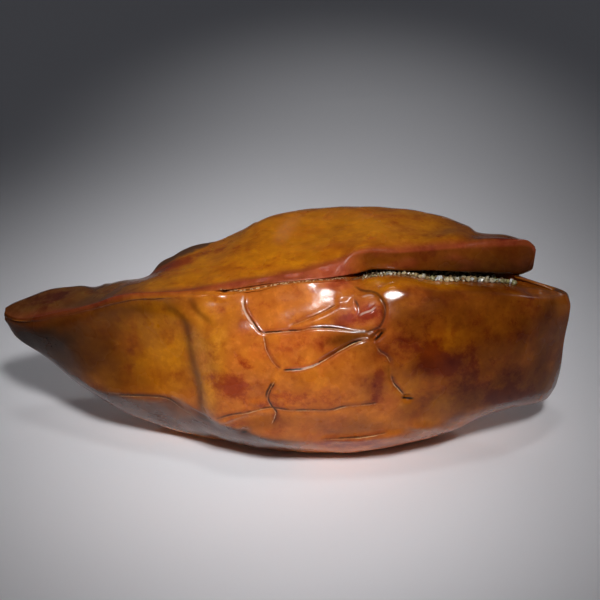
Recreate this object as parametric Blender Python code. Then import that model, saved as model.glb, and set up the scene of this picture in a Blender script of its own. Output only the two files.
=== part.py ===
# Raw agate nodule: a boat-shaped, wax-smooth stone lying on its rounded belly,
# with an upper slab that overhangs a crevice, and a thin bed of crystal grit
# inside the crevice.  +Z is up, +X runs along the stone, -Y faces the viewer.
# Lengths in the tables are millimetres; the meshes are written in metres.
import bpy
import bmesh
import numpy as np

MM = 0.001

# The guide lines are drawn on a leaning sheet, the way one sees the stone from
# a raised eye: (across, up) on the sheet, then how far back the line lies.
LEAN = np.radians(27.0)
EYE_REACH = 600.0
SHEET_MID = np.array([0.0, 0.0, 38.4])
SHEET_UP = np.array([0.0, np.sin(LEAN), np.cos(LEAN)])
SHEET_IN = np.array([0.0, np.cos(LEAN), -np.sin(LEAN)])
EYE = SHEET_MID - EYE_REACH * SHEET_IN

LEFT, RIGHT = -73.75, 67.5      # the two ends, on the sheet
LEFT_KNEE, RIGHT_KNEE = -60.0, 35.0
MID_LEFT, MID_RIGHT = 4.5, 2.0  # depth of the middle plane at the two ends
END_HALF = 1.1                  # half the thickness left at each end

# (across, up): ridge against the background, and keel against the table
CREST = [(-73.5, -2), (-70, 0), (-63.8, 2.5), (-58.8, 3.9), (-53.8, 3.9),
         (-50.8, 3), (-48.8, 4.4), (-43, 5.8), (-37, 6.3), (-35.8, 8.2),
         (-31.2, 10.5), (-28, 12.2), (-23, 13.8), (-20, 15.2), (-15, 17.8),
         (-9.5, 20.8), (-6.2, 21.8), (0, 22.5), (7.5, 23.4), (13.8, 23.6),
         (21.2, 23.2), (30, 22.2), (37.5, 20.5), (41, 19.2), (44.5, 17),
         (50, 16.5), (54.5, 15.5), (57.5, 14.8), (58.5, 13.5)]
KEEL = [(-72.5, -6), (-70, -8.8), (-65, -13), (-60, -17), (-55, -20.8),
        (-50, -24.2), (-45, -27.4), (-40, -29.8), (-35, -31.8), (-30, -33.2),
        (-18.8, -35.2), (-5, -37.4), (2.5, -38), (10, -37.9), (17.5, -37),
        (30, -35), (38.8, -32), (42.5, -30.1), (47.5, -28.2), (57.5, -26.2),
        (61.5, -24.8)]
# (across, up, back): front edge of the upper slab, then the two crevice lips
RIM = [(-73.8, -3.2, 4.5), (-70, -4.5, 0), (-60, -2.5, -4), (-50, 0, -7.5),
       (-40, 2.1, -11), (-27.5, 2.8, -13), (-17, 4.5, -13.5),
       (-8.2, 5.8, -13), (0, 6.9, -12),
       (3.8, 8, -11.5), (10, 10, -10.5), (12.5, 11.2, -10),
       (15, 12.2, -9), (18.8, 12.6, -8), (23.8, 12.4, -7),
       (28.8, 12.8, -5.5), (42.5, 13.9, -2), (56.2, 14.5, 1.5),
       (59, 12.2, 2.5)]
LIP_HIGH = [(-73.8, -3.6, 4.5), (-70, -5.1, -0.5), (-60, -3.4, -4.8),
            (-50, -1, -8.5), (-40, 1, -12), (-27.5, 1.8, -14.5),
            (-17.2, 2.6, -15.3), (-10, 3.8, -15.7), (-3, 4.7, -15.4),
            (5, 5.3, -14.7), (11.2, 6, -13.5),
            (14.5, 6.5, -9.5), (18, 7.5, -8.5), (25, 7.2, -8), (35, 7, -6),
            (45, 6.8, -3), (53.8, 6.6, 0), (58.2, 7.8, 2.5)]
LIP_LOW = [(-73.8, -4, 4.5), (-70, -5.6, -0.7), (-60, -4.2, -5.3),
           (-50, -2, -9), (-40, 0, -12.5), (-27.5, 0.8, -15.5),
           (-17.2, 1.8, -16.3), (-10, 3.2, -16.6), (-3, 4.1, -16.8),
           (5, 4.6, -16.3), (11.2, 5.1, -15.0),
           (14.5, 5.3, -11), (16.5, 5.9, -9.5), (21.2, 6.2, -8.8),
           (25, 5.8, -8.2), (35, 4.9, -6.5), (45, 4.1, -4),
           (53.8, 3.8, -1.5), (63.8, 2.2, 1), (65.8, 1.5, 2)]
# (across, back): how far the stone reaches to the front and to the back
FRONT_REACH = [(-73.8, 4.5), (-70, -0.8), (-60, -6.5), (-50, -11),
               (-40, -15), (-27.5, -19.5), (-21.2, -23), (-12.5, -25.5),
               (0, -26.5), (12.5, -26), (25, -24.5), (37.5, -21),
               (50, -16.5), (60, -11.5), (65, -6.3), (67.5, 2)]
BACK_REACH = [(-73.8, 4.5), (-70, 8.5), (-60, 13), (-50, 16), (-37.5, 21),
              (-25, 26), (-12.5, 30.5), (0, 33.5), (12.5, 34), (25, 31.5),
              (37.5, 27.5), (50, 21), (58, 16), (64, 10.5), (67.5, 2)]
SLOT_DEPTH = [(-73.8, 0), (-22, 0), (-19, 2), (-16, 1), (-10, 1.5),
              (0, 1.8), (9, 2.2), (13, 5), (17, 10), (25, 13), (40, 12),
              (48, 7), (54, 1.5)]
NOTCH_END = 54.0
SHUT_FROM, SHUT_TO = -26.0, -20.5    # left of these the crevice is closed
# (across, up): the edge where the front face turns under, and its share of the
# reach at each place along the stone
BILGE = [(-73, -5.8), (-60, -16), (-52, -22.2), (-48.8, -23.6), (-44.5, -24),
         (-40, -24.2), (-34.8, -24.5), (-31.2, -25.1), (-29, -26.8),
         (-27, -28.3), (-24.5, -29.2), (-22.5, -30.2), (-18.4, -32.2),
         (-14.5, -33.4), (-8, -34.9), (0, -35.5), (12, -35.6), (22, -34.6),
         (30, -32.6), (42, -28.2), (55, -24.6), (63.8, -21.4)]
BILGE_REACH = [(-73.8, 0.5), (-60, 0.58), (-48, 0.8), (-36, 0.9), (40, 0.9),
               (67.5, 0.8)]
KEEL_REACH, CREST_REACH = 0.39, 0.58     # the same share for keel and ridge

# Lines of the front face: share of the way down from lip to keel, where the line
# meets the right-hand outline, and its share of the reach along the stone
FRONT_FACE = {"shoulder": (0.09, 67.4, [(-73.8, 0.95), (-60, 0.95), (-40, 0.91),
                                        (-30, 0.88), (-20, 0.79), (-10, 0.745),
                                        (67.5, 0.745)]),
              "brow": (0.165, 67.2, [(-73.8, 0.98), (-60, 0.98), (-40, 0.96),
                                     (-30, 0.945), (-20, 0.875), (-10, 0.825),
                                     (67.5, 0.825)]),
              "flank": (0.45, 66.1, [(-73.8, 1.0), (67.5, 1.0)])}
# Lines of the back face: the front line it meets at the ends, share of the
# height from keel to ridge, share of the reach
BACK_FACE = {"belly": ("keel", -0.02, 0.10), "backBilge": ("bilge", 0.15, 0.70),
             "backFlank": ("flank", 0.40, 1.0),
             "backShoulder": ("shoulder", 0.62, 0.98),
             "backLipLow": ("lipLow", 0.70, 0.95),
             "backNotch": ("slotFloor", 0.765, 0.93),
             "backLipHigh": ("lipHigh", 0.835, 0.89),
             "backTop": ("rim", 0.94, 0.79)}
# Toward the right end these lines stay hidden behind the front line they face, a
# little below it
HIDDEN = ("backShoulder", "backLipLow", "backNotch")
HIDE_FROM, HIDE_TO, HIDE_BELOW = 42.0, 50.0, 3.0
# Order of the lines around the stone: roundness at the line, and how many
# rows of points run from it to the next one
AROUND = [("crest", 0.9, 8), ("topMid", 1.0, 8), ("rim", 0.35, 8),
          ("lipHigh", 0.3, 6), ("slotRoof", 0.4, 3), ("slotFloor", 0.4, 6),
          ("lipLow", 0.4, 5), ("shoulder", 1.0, 5), ("brow", 1.0, 15),
          ("flank", 1.0, 22), ("bilge", 0.55, 12), ("keel", 1.0, 6), ("belly", 1.0, 10),
          ("backBilge", 1.0, 10), ("backFlank", 1.0, 10),
          ("backShoulder", 1.0, 4), ("backLipLow", 1.0, 4),
          ("backNotch", 1.0, 4), ("backLipHigh", 1.0, 5), ("backTop", 0.9, 8)]
STATIONS = 300
STATION_GAP = (RIGHT - LEFT) / (0.9 * STATIONS)     # in the middle of the stone
# How far to each side a line is averaged along the stone
CALM = {"crest": 1.6, "rim": 1.0, "lipHigh": 1.0, "lipLow": 1.6, "shoulder": 5.0,
        "brow": 5.0, "flank": 5.0, "bilge": 1.0, "keel": 1.6}
CALM_TOP, CALM_RIDGE, CALM_BACK = 2.6, 4.1, 1.5
WEAR_BEFORE, WEAR_AFTER = 4, 1  # rounds of wear before and after the breaks
STONE_TRIANGLES = 8200

# Crystal grit: a bed along the crevice floor, kept clear of floor and roof
GRIT_FROM, GRIT_TO = 18.0, 52.0
GRIT_LONG, GRIT_DEEP = 46, 6
GRIT_CLEAR = 0.7


def from_sheet(across, up, back):
    # the point at depth `back` on the sight line through (across, up)
    across, up, back = np.broadcast_arrays(across, up, back)
    spot = (SHEET_MID + across[..., None] * np.array([1.0, 0.0, 0.0])
            + up[..., None] * SHEET_UP)
    share = (back - EYE[1]) / (spot[..., 1] - EYE[1])
    return EYE + share[..., None] * (spot - EYE)


def to_sheet(points):
    ray = points - EYE
    deep = ray @ SHEET_IN
    return ray[..., 0] / deep * EYE_REACH, (ray @ SHEET_UP) / deep * EYE_REACH


def turn(across, first, last):
    # angle of a half circle laid over the line, so that ends come out round
    return np.arccos(np.clip(1 - 2 * (across - first) / (last - first), -1, 1))


def along(knots, across):
    # shape-keeping cubic through the knots of a guide line
    knots = np.array(knots, float)
    first, last = knots[0, 0], knots[-1, 0]
    kx, ky = turn(knots[:, 0], first, last), knots[:, 1:]
    x = turn(across, first, last)
    gap = np.diff(kx)[:, None]
    rise = np.diff(ky, axis=0) / gap
    lean = np.zeros_like(ky)
    after, before = 2 * gap[1:] + gap[:-1], gap[1:] + 2 * gap[:-1]
    same = rise[:-1] * rise[1:] > 0
    safe_a = np.where(same, rise[:-1], 1.0)
    safe_b = np.where(same, rise[1:], 1.0)
    lean[1:-1] = np.where(same, (after + before)
                          / (after / safe_a + before / safe_b), 0.0)
    lean[0], lean[-1] = rise[0], rise[-1]
    i = np.clip(np.searchsorted(kx, x, side="right") - 1, 0, len(kx) - 2)
    g = gap[i]
    t = np.clip((x - kx[i])[:, None] / g, 0, 1)
    return ((2 * t**3 - 3 * t**2 + 1) * ky[i] + (t**3 - 2 * t**2 + t) * g * lean[i]
            + (3 * t**2 - 2 * t**3) * ky[i + 1] + (t**3 - t**2) * g * lean[i + 1])


def spaced(count):
    # shares of the length, even in the middle and closer toward both ends
    v, e = np.linspace(0, 1, count), 0.10
    d = np.where(v < e, v * v / (2 * e), v - e / 2)
    d = np.where(v > 1 - e, (1 - e) - (1 - v)**2 / (2 * e), d)
    return d / (1 - e)


def drawn_out(station, first, last):
    # each line starts and ends at its own place on the outline
    start = (first + (station - LEFT) * (LEFT_KNEE - first) / (LEFT_KNEE - LEFT))
    end = (RIGHT_KNEE + (station - RIGHT_KNEE) * (last - RIGHT_KNEE)
           / (RIGHT - RIGHT_KNEE))
    out = np.where(station < LEFT_KNEE, start, station)
    return np.where(station > RIGHT_KNEE, end, out)


def calm(values, spread):
    # running average along the stone, `spread` to each side
    out = values.copy()
    for _ in range(round(2 * (spread / STATION_GAP)**2)):
        out[1:-1] = (out[:-2] + 2 * out[1:-1] + out[2:]) / 4
    return out


def guide_lines(count):
    s = LEFT + (RIGHT - LEFT) * spaced(count)
    share = (s - LEFT) / (RIGHT - LEFT)
    middle = MID_LEFT + (MID_RIGHT - MID_LEFT) * share
    front = along(FRONT_REACH, s)[:, 0] - middle
    back = along(BACK_REACH, s)[:, 0] - middle
    near, far = middle - END_HALF, middle + END_HALF
    lines = {}

    def place(knots, reach_share=None, reach=None):
        a = drawn_out(s, knots[0][0], knots[-1][0])
        v = along(knots, a)
        depth = v[:, 1] if reach is None else middle + reach_share * reach
        return a, v[:, 0], depth

    for name, knots in (("rim", RIM), ("lipHigh", LIP_HIGH), ("lipLow", LIP_LOW)):
        a, up, depth = place(knots)
        lines[name] = from_sheet(a, up, np.minimum(depth, near))
    lines["crest"] = from_sheet(*place(CREST, CREST_REACH, back))
    a_keel, up_keel, depth = place(KEEL, KEEL_REACH, front)
    lines["keel"] = from_sheet(a_keel, up_keel, np.minimum(depth, near))
    a, up, depth = place(BILGE, along(BILGE_REACH, s)[:, 0], front)
    lines["bilge"] = from_sheet(a, up, np.minimum(depth, near))
    up_lip = place(LIP_LOW)[1]
    for name, (down, end, shares) in FRONT_FACE.items():
        a, reach = drawn_out(s, LEFT, end), along(shares, s)[:, 0]
        up = up_lip + down * (up_keel - up_lip)
        lines[name] = from_sheet(a, up, np.minimum(middle + reach * front, near))
    for name, spread in CALM.items():
        lines[name] = calm(lines[name], spread)

    # the crevice: its roof runs level inward, its floor dips
    a = drawn_out(s, LEFT, NOTCH_END)
    deep = along(SLOT_DEPTH, a)[:, 0][:, None]
    closing = np.clip((a - 48) / 6, 0, 1)[:, None]
    high, low = along(LIP_HIGH, a), along(LIP_LOW, a)
    roof = from_sheet(a, high[:, 0], high[:, 1])
    floor = from_sheet(a, low[:, 0], low[:, 1])
    roof = roof + deep * np.array([0, 1.0, -0.05])
    floor = floor + deep * np.array([0, 1.0, -0.22])
    both = (roof + floor) / 2
    lines["slotRoof"] = roof + closing * (both - roof)
    lines["slotFloor"] = floor + closing * (both - floor)
    for name in ("slotRoof", "slotFloor"):
        lines[name][:, 1] = np.minimum(lines[name][:, 1], far + 2.0)

    # where the crevice is closed its lines lie evenly on the edge's rounded slope
    shut = (1 - smooth_step(s, SHUT_FROM, SHUT_TO))[:, None]
    for name, part in (("lipHigh", 0.25), ("slotRoof", 0.5), ("slotFloor", 0.75)):
        even = lines["rim"] + part * (lines["lipLow"] - lines["rim"])
        lines[name] = lines[name] + shut * (even - lines[name])

    # the top is slightly domed between rim and ridge
    dome = 1.2 * np.sin(np.pi * np.clip(share, 0, 1))**0.8
    lines["topMid"] = 0.5 * (calm(lines["rim"], CALM_TOP) + calm(lines["crest"], CALM_TOP))
    lines["topMid"][:, 2] += dome

    near_left = np.clip(1 - (s - LEFT) / 10, 0, 1)[:, None]**2
    near_right = np.clip(1 - (RIGHT - s) / 14, 0, 1)[:, None]**2
    top, bottom = calm(lines["crest"], CALM_RIDGE)[:, 2], lines["keel"][:, 2]
    shift = np.array([0, 2 * END_HALF, 0])
    for name, (partner, height, reach) in BACK_FACE.items():
        facing = lines[partner]
        line = np.stack([calm(facing[:, 0], CALM_BACK), middle + reach * back,
                         bottom + height * (top - bottom)], axis=1)
        if name in HIDDEN:
            a, v = to_sheet(facing)
            cover = from_sheet(a, v - HIDE_BELOW, line[:, 1])[:, 2]
            line[:, 2] -= (smooth_step(s, HIDE_FROM, HIDE_TO)
                           * np.maximum(line[:, 2] - cover, 0))
        line = (line + near_left * (facing[0] + shift - line[0])
                + near_right * (facing[-1] + shift - line[-1]))
        lines[name] = line
    return lines


def loft(lines):
    # smooth cross-sections through the lines, rows first, stations second
    net = np.stack([lines[name] for name, _, _ in AROUND])
    soft = np.array([w for _, w, _ in AROUND])[:, None, None]
    step = np.roll(net, -1, 0) - net
    chord = np.maximum(np.linalg.norm(step, axis=2).mean(1), 0.8)[:, None, None]
    slope, back_chord = step / chord, np.roll(chord, 1, 0)
    lean = soft * (chord * np.roll(slope, 1, 0) + back_chord * slope) / (chord + back_chord)
    rows = []
    for k, (_, _, count) in enumerate(AROUND):
        t = (np.arange(count) / count)[:, None, None]
        n = (k + 1) % len(AROUND)
        rows.append((2 * t**3 - 3 * t**2 + 1) * net[k]
                    + (t**3 - 2 * t**2 + t) * chord[k] * lean[k]
                    + (3 * t**2 - 2 * t**3) * net[n]
                    + (t**3 - t**2) * chord[k] * lean[n])
    return np.concatenate(rows)


def row_of(name):
    # first row of a line in the loft
    names = [line for line, _, _ in AROUND]
    return sum(count for _, _, count in AROUND[:names.index(name)])


# Breaks on the front face: the ground on the left of the walked line sinks by
# `drop` and comes back to level over `run`; `edge` is how soft the step is, and
# `bead` the height of a small fold along its high side.
# (points on the sheet, drop, run, edge, bead)
FRONT_LEDGES = [
    # edge of the big scoop, and the crease beside it
    ([(-20, -34), (-22.2, -30.6), (-24, -27.5), (-24.4, -23.7), (-24.9, -19.7), (-26, -16),
      (-27, -11), (-28, -5.8), (-30.2, -3), (-35, 1), (-42, 4.2)],
     1.7, 14, 2.2, 0.5),
    ([(-20.5, -6.8), (-23, -4.7), (-25, -3), (-26.6, -0.9), (-28, 2), (-29.5, 6)],
     0.7, 5, 1.1, 0.1),
    # upper panel sinks inside its left and lower edge
    ([(-13.4, 7), (-13.8, 3), (-14.2, 0.5), (-14, -2.2), (-12.5, -4.7), (-11, -7), (-9.6, -8.3),
      (-6.5, -8.2), (-2.9, -7.9), (0, -7.7), (2.7, -7.2), (6.2, -7), (9.7, -7.3),
      (12.8, -7.8), (16, -7.9), (19, -7.4)], 1.0, 7, 0.65, 0.0),
    # tongue that lies on the upper panel
    ([(-2.5, -6.6), (0, -5.7), (1.8, -4.9), (4.1, -4), (6.9, -2.6), (9.3, -1.2),
      (11.2, 0), (13.5, 0.7)], 0.9, 5, 0.55, 0.1),
    # lower panel dips under the edge of the big swelling
    ([(-4.7, -17.7), (-2.2, -17.6), (0.6, -17.4), (3.4, -16.5), (6.2, -14.9),
      (9.7, -12.8), (13.2, -10.9), (16, -10), (18.1, -10.2)], 1.4, 8, 0.7, 0.0),
    ([(5.5, -15.2), (9.7, -12.8), (13.2, -10.9), (17, -9.9)], 1.0, 4, 0.6, 0.0),
    ([(-9.2, -8.8), (-8.8, -11), (-8.4, -12.8), (-6.8, -15.6), (-4.8, -17.6)],
     0.6, 4, 0.6, 0.1),
    # left edge of the swelling
    ([(-7.5, -26.6), (-8.4, -24.7), (-7.9, -22.6), (-6.5, -20.1), (-4.6, -17.8)],
     0.8, 4, 0.6, 0.0),
    # three-cornered recess in the knob's head, and the ridge under it
    ([(13.2, 0.8), (13.7, -0.4), (14.3, -1.8), (14.6, -3.3)], 0.9, 3, 0.35, 0.0),
    ([(14.2, -4.4), (15.9, -3.3), (17.8, -2.6), (19.2, -1.3)], 0.8, 2.4, 0.4, 0.2),
    # narrow step near the table, and the low step right of it
    ([(5, -34.9), (9, -34.7), (15, -34.4), (21.5, -33.3), (26, -32.6)],
     0.7, 2.5, 0.35, 0.3),
    # strip under the scoop and the first panel
    ([(-8, -29.2), (-11, -28.8), (-15, -29.6), (-20, -31.2)], 0.5, 2.5, 0.35, 0.2),
]
# The same on the top
TOP_LEDGES = [
    # dome of the top against the lower end of the slab
    ([(31.5, 13.4), (36, 14.3), (40, 15.4), (44.5, 17.4)][::-1], 1.3, 9, 0.8, 0.3),
    # folds on the tongue-like left end
    ([(-51.5, 3.4), (-54, 1.2), (-60, -0.9), (-68, -2.9)], 0.9, 3.5, 0.7, 0.2),
    ([(-24, 5.4), (-30, 4.6), (-36, 3.8), (-44, 2.8)], 0.5, 4, 0.8, 0.15),
]
# Open cracks on the front face: (points on the sheet, depth, half width)
FRONT_CRACKS = [
    ([(18.2, -10.1), (19.1, -11.7), (19.9, -13.1), (21.6, -14.2), (22.7, -15.8),
      (22.6, -19), (23.2, -20.8), (24.8, -22.6), (26.2, -24.3)], 0.55, 0.38),
    ([(13.2, 4.4), (14.6, 2.6), (17, 2.1), (19.4, 1.3), (21.1, -1.4), (21.3, -4),
      (20.7, -6.2), (19.2, -7.6), (16, -8.2)], 0.7, 0.9),
    ([(17.7, -10.9), (18.5, -9.9), (19.6, -8.9), (20.9, -7.8), (21.9, -7.1)],
     1.9, 0.6),
    ([(-21.2, -30.1), (-17, -28.9), (-13.5, -28.4), (-10.7, -27.7), (-7.5, -27.1),
      (-2.9, -27.7), (2.3, -27.7), (7.6, -27.7), (11.1, -26.8), (16.3, -26.3),
      (19.5, -25.9)], 0.25, 0.3),
    ([(-8.3, -25), (-7.3, -26.6), (-6.1, -28.2), (-6.8, -30.3), (-7.2, -31.3)],
     0.4, 0.32),
    ([(-49, -23.7), (-44, -24), (-38, -24.2), (-33, -24.8), (-29.5, -27.2),
      (-26, -29), (-22.5, -30.4)], 0.25, 0.3),
    ([(-15.9, 2), (-17, 2.1), (-20, 2.2), (-21, 2.6)], 0.7, 0.5),
]
# Dents (positive) and lumps (negative) on the front: (across, up, depth, half
# width, half height)
FRONT_DENTS = [(26.8, -24.7, 1.8, 1.1, 0.7), (17.3, -2.6, -1.2, 3.6, 3.6),
               (7.5, 1.2, -0.4, 4.5, 3.2), (26.5, 3.2, -1.0, 5.0, 4.0),
               (-18.6, 2.2, 1.1, 1.9, 0.5),
               (-14, -33.2, 0.6, 1.4, 0.8), (-11, -26.1, -0.5, 2.2, 0.8),
               (28.6, -31.4, -0.6, 1.4, 1.0), (31.2, -31.6, -0.6, 1.7, 0.9),
               (34.5, -31.7, -0.4, 2.0, 0.8), (41, -3.9, 0.2, 0.8, 0.8),
               (6, -21.5, -1.1, 9.0, 7.0), (-18, -14, -0.7, 4.5, 10.0),
               (-19.6, 0.7, -0.3, 2.2, 0.7)]
# Rough weathered knob on the far side of the top: (x, y, z, reach, height)
KNOBS = [(-31, 16, 45, 4.5, 1.2), (-25, 18, 47, 3.2, 0.9),
         (-36, 14, 42, 3.0, 1.0), (-28, 20, 44, 3.0, 0.8)]
# Shallow shell-shaped scoops, each the print of a big ball: (a point of the skin
# x, y, z, then the radius of the ball and the depth of its print)
SCOOPS = [(-30, 28, 30, 34, 2.6), (-6, 34, 22, 46, 2.6), (14, 30, 40, 40, 2.2),
          (34, 26, 26, 38, 2.6), (48, 19, 28, 30, 2.0), (-52, 15, 36, 30, 2.0),
          (-14, 26, 46, 40, 1.8), (22, 30, 14, 34, 2.4), (-40, 10, 14, 30, 2.2),
          (46, 6, 12, 34, 2.2), (2, 24, 5, 30, 2.0), (-24, 16, 8, 26, 1.8),
          (-58, 4, 40, 34, 0.9), (-64, 6, 28, 22, 1.4), (58, 8, 20, 26, 1.6),
          (8, 8, 60, 90, 0.8)]
SCOOP_EDGE = 0.5                # how soft the edge of a scoop is
# Ledges across the back: (points as x, z, then drop, run, edge)
BACK_LEDGES = [
    ([(-50, 40), (-44, 33), (-40, 27), (-37, 20), (-38, 12)], 1.2, 8, 0.6),
    ([(-12, 52), (-8, 46), (-6, 40), (0, 34), (1, 27), (5, 18), (4, 10)],
     1.1, 9, 0.6),
    ([(18, 33), (26, 29), (34, 28), (44, 30), (56, 33)], 1.4, 7, 0.6),
    ([(36, 10), (33, 16), (27, 22), (18, 33)], 0.9, 6, 0.6),
    ([(-38, 26), (-28, 22), (-18, 23), (-8, 29), (0, 34)], 0.8, 6, 0.6),
]
# Cracks across the back: (points as x, z, then depth and half width)
BACK_CRACKS = [
    ([(4, 12), (10, 16), (18, 17), (27, 22)], 0.5, 0.6),
    ([(-37, 20), (-30, 14), (-22, 12), (-16, 7)], 0.5, 0.6),
    ([(44, 30), (47, 22), (53, 17)], 0.5, 0.6),
    ([(-8, 46), (2, 49), (12, 48), (22, 51)], 0.4, 0.6),
]


def smooth_path(points, pieces=5):
    # rounded path through the points
    p = np.array(points, float)
    ends = np.vstack([2 * p[0] - p[1], p, 2 * p[-1] - p[-2]])
    t = np.linspace(0, 1, pieces, endpoint=False)[:, None]
    runs = []
    for a, b, c, d in zip(ends, ends[1:], ends[2:], ends[3:]):
        runs.append(0.5 * (2 * b + (c - a) * t + (2 * a - 5 * b + 4 * c - d) * t**2
                           + (3 * b - a - 3 * c + d) * t**3))
    return np.vstack(runs + [p[-1:]])


def path_distance(u, v, points):
    # distance to a path, which side of it (left positive), and how far along the
    # path the nearest point lies from the nearer end
    path = smooth_path(points)
    pieces = np.linalg.norm(np.diff(path, axis=0), axis=1)
    lengths = np.concatenate([[0], np.cumsum(pieces)])
    best = np.full(u.shape, 1e9)
    side, place = np.ones(u.shape), np.zeros(u.shape)
    for (x0, y0), (x1, y1), start in zip(path, path[1:], lengths):
        dx, dy = x1 - x0, y1 - y0
        size = np.hypot(dx, dy)
        t = np.clip(((u - x0) * dx + (v - y0) * dy) / size**2, 0, 1)
        d = np.hypot(u - x0 - t * dx, v - y0 - t * dy)
        closer = d < best
        best = np.where(closer, d, best)
        side = np.where(closer, np.sign(dx * (v - y0) - dy * (u - x0)), side)
        place = np.where(closer, start + t * size, place)
    return best, side, np.minimum(place, lengths[-1] - place)


def smooth_step(x, low, high):
    t = np.clip((x - low) / (high - low), 0, 1)
    return t * t * (3 - 2 * t)


def fade_ends(inner, span=2.2):
    return smooth_step(inner, 0, span)


def path_field(u, v, points, run):
    # the path's pull, exp(-distance / run) summed over its length and divided by
    # twice the run, and its turn, the angle under which the path is seen, in half
    # circles (left positive)
    path = smooth_path(points)
    pull, angle = np.zeros(u.shape), np.zeros(u.shape)
    for (x0, y0), (x1, y1) in zip(path, path[1:]):
        ax, ay, bx, by = x0 - u, y0 - v, x1 - u, y1 - v
        size = np.hypot(x1 - x0, y1 - y0)
        pull += np.exp(-np.hypot(ax + bx, ay + by) / (2 * run)) * size / (2 * run)
        angle += np.arctan2(ax * by - ay * bx, ax * bx + ay * by)
    return pull, np.clip(angle / np.pi, -1, 1)


def ledge(u, v, points, drop, run, edge, bead=0.0):
    gap, side, inner = path_distance(u, v, points)
    pull, turned = path_field(u, v, points, run)
    step = 0.5 + 0.5 * turned * np.tanh(gap / edge)
    fold = bead * np.exp(-((side * gap + 1.8 * edge) / (2.0 * edge))**2)
    return fold * fade_ends(inner) - drop * step * pull


def crack(u, v, points, depth, half_width):
    gap, _, inner = path_distance(u, v, points)
    return -depth * np.exp(-(gap / half_width)**2) * fade_ends(inner)


def normals_of(grid):
    around = np.roll(grid, -1, 0) - np.roll(grid, 1, 0)
    length = np.gradient(grid, axis=1)
    n = np.cross(around, length)
    return n / np.maximum(np.linalg.norm(n, axis=2, keepdims=True), 1e-9)


def tumble(grid, passes):
    # wear: every point moves toward the middle of its neighbours
    out = grid.copy()
    for _ in range(passes):
        wide = np.concatenate([out[:, :1], out, out[:, -1:]], 1)
        near = np.roll(out, 1, 0) + np.roll(out, -1, 0) + wide[:, 2:] + wide[:, :-2]
        out += 0.5 * (near / 4 - out)
    return out


def swell(p):
    # slow unevenness of a natural skin
    x, y, z = p[..., 0], p[..., 1], p[..., 2]
    return (0.22 * np.sin(0.21 * x + 0.13 * z + 1.3) * np.cos(0.17 * y - 0.19 * z)
            + 0.12 * np.sin(0.43 * x - 0.31 * y + 0.7) * np.sin(0.37 * z + 0.22 * x + 2.1))


def scoop(grid, n, x, y, z, radius, depth):
    # points inside a ball that dips into the skin move out to its surface
    spot = np.argmin(np.sum((grid - np.array([x, y, z]))**2, axis=2))
    centre = grid.reshape(-1, 3)[spot] + (radius - depth) * n.reshape(-1, 3)[spot]
    arm = grid - centre
    size = np.linalg.norm(arm, axis=2, keepdims=True)
    push = SCOOP_EDGE * np.logaddexp(0, (radius - size) / SCOOP_EDGE)
    return np.where(push > 0.01, grid + arm / size * push, grid)


def weather(grid):
    # every break, crack, scoop and lump, added to the smooth loft
    n = normals_of(grid)
    for x, y, z, radius, depth in SCOOPS:
        grid = scoop(grid, n, x, y, z, radius, depth)
    n = normals_of(grid)
    u, v = to_sheet(grid)
    seen = smooth_step(-(n @ SHEET_IN), -0.05, 0.12)
    # the front breaks start under the lip, the ones on the top end at its rim
    row = np.arange(len(grid))[:, None]
    below = smooth_step(row, row_of("slotFloor") + 1, row_of("lipLow") + 1)
    above = 1 - smooth_step(row, row_of("rim"), row_of("lipHigh"))
    lift = np.zeros(u.shape)
    for points, drop, run, edge, bead in FRONT_LEDGES:
        lift += below * ledge(u, v, points, drop, run, edge, bead)
    for points, drop, run, edge, bead in TOP_LEDGES:
        lift += above * ledge(u, v, points, drop, run, edge, bead)
    for points, depth, half_width in FRONT_CRACKS:
        lift += below * crack(u, v, points, depth, half_width)
    for a, b, depth, wide, high in FRONT_DENTS:
        lift -= below * depth * np.exp(-((u - a) / wide)**2 - ((v - b) / high)**2)
    lift = lift * seen
    behind = smooth_step(n[..., 1], 0.0, 0.35)
    for points, drop, run, edge in BACK_LEDGES:
        lift += behind * ledge(grid[..., 0], grid[..., 2], points, drop, run, edge)
    for points, depth, half_width in BACK_CRACKS:
        lift += behind * crack(grid[..., 0], grid[..., 2], points, depth, half_width)
    for x, y, z, reach, height in KNOBS:
        away = np.sum((grid - np.array([x, y, z]))**2, axis=2)
        lift += height * np.exp(-away / reach**2)
    return grid + n * (lift + swell(grid))[..., None]


def zip_end(grid_ids, points, keel_row):
    # close an end with a narrow band between its front and its back edge
    front = list(grid_ids[:keel_row + 1])
    back = list(grid_ids[:keel_row:-1])
    faces, i, j = [], 0, 0
    while i < len(front) - 1 or j < len(back) - 1:
        more_front = i < len(front) - 1
        if more_front and j < len(back) - 1:
            ahead_f = np.linalg.norm(points[front[i + 1]] - points[back[j]])
            ahead_b = np.linalg.norm(points[front[i]] - points[back[j + 1]])
            more_front = ahead_f < ahead_b
        if more_front:
            faces.append((front[i], front[i + 1], back[j]))
            i += 1
        else:
            faces.append((front[i], back[j + 1], back[j]))
            j += 1
    return faces


def material(name, colour, roughness):
    mat = bpy.data.materials.new(name)
    mat.use_nodes = True
    shader = mat.node_tree.nodes["Principled BSDF"]
    shader.inputs["Base Color"].default_value = (*colour, 1)
    shader.inputs["Roughness"].default_value = roughness
    shader.inputs["Metallic"].default_value = 0.0
    return mat


def add_object(name, points, faces, mat):
    mesh = bpy.data.meshes.new(name)
    mesh.from_pydata((points * MM).tolist(), [], faces)
    mesh.materials.append(mat)
    bm = bmesh.new()
    bm.from_mesh(mesh)
    bmesh.ops.recalc_face_normals(bm, faces=bm.faces)
    bm.to_mesh(mesh)
    bm.free()
    obj = bpy.data.objects.new(name, mesh)
    bpy.context.scene.collection.objects.link(obj)
    return obj


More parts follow.
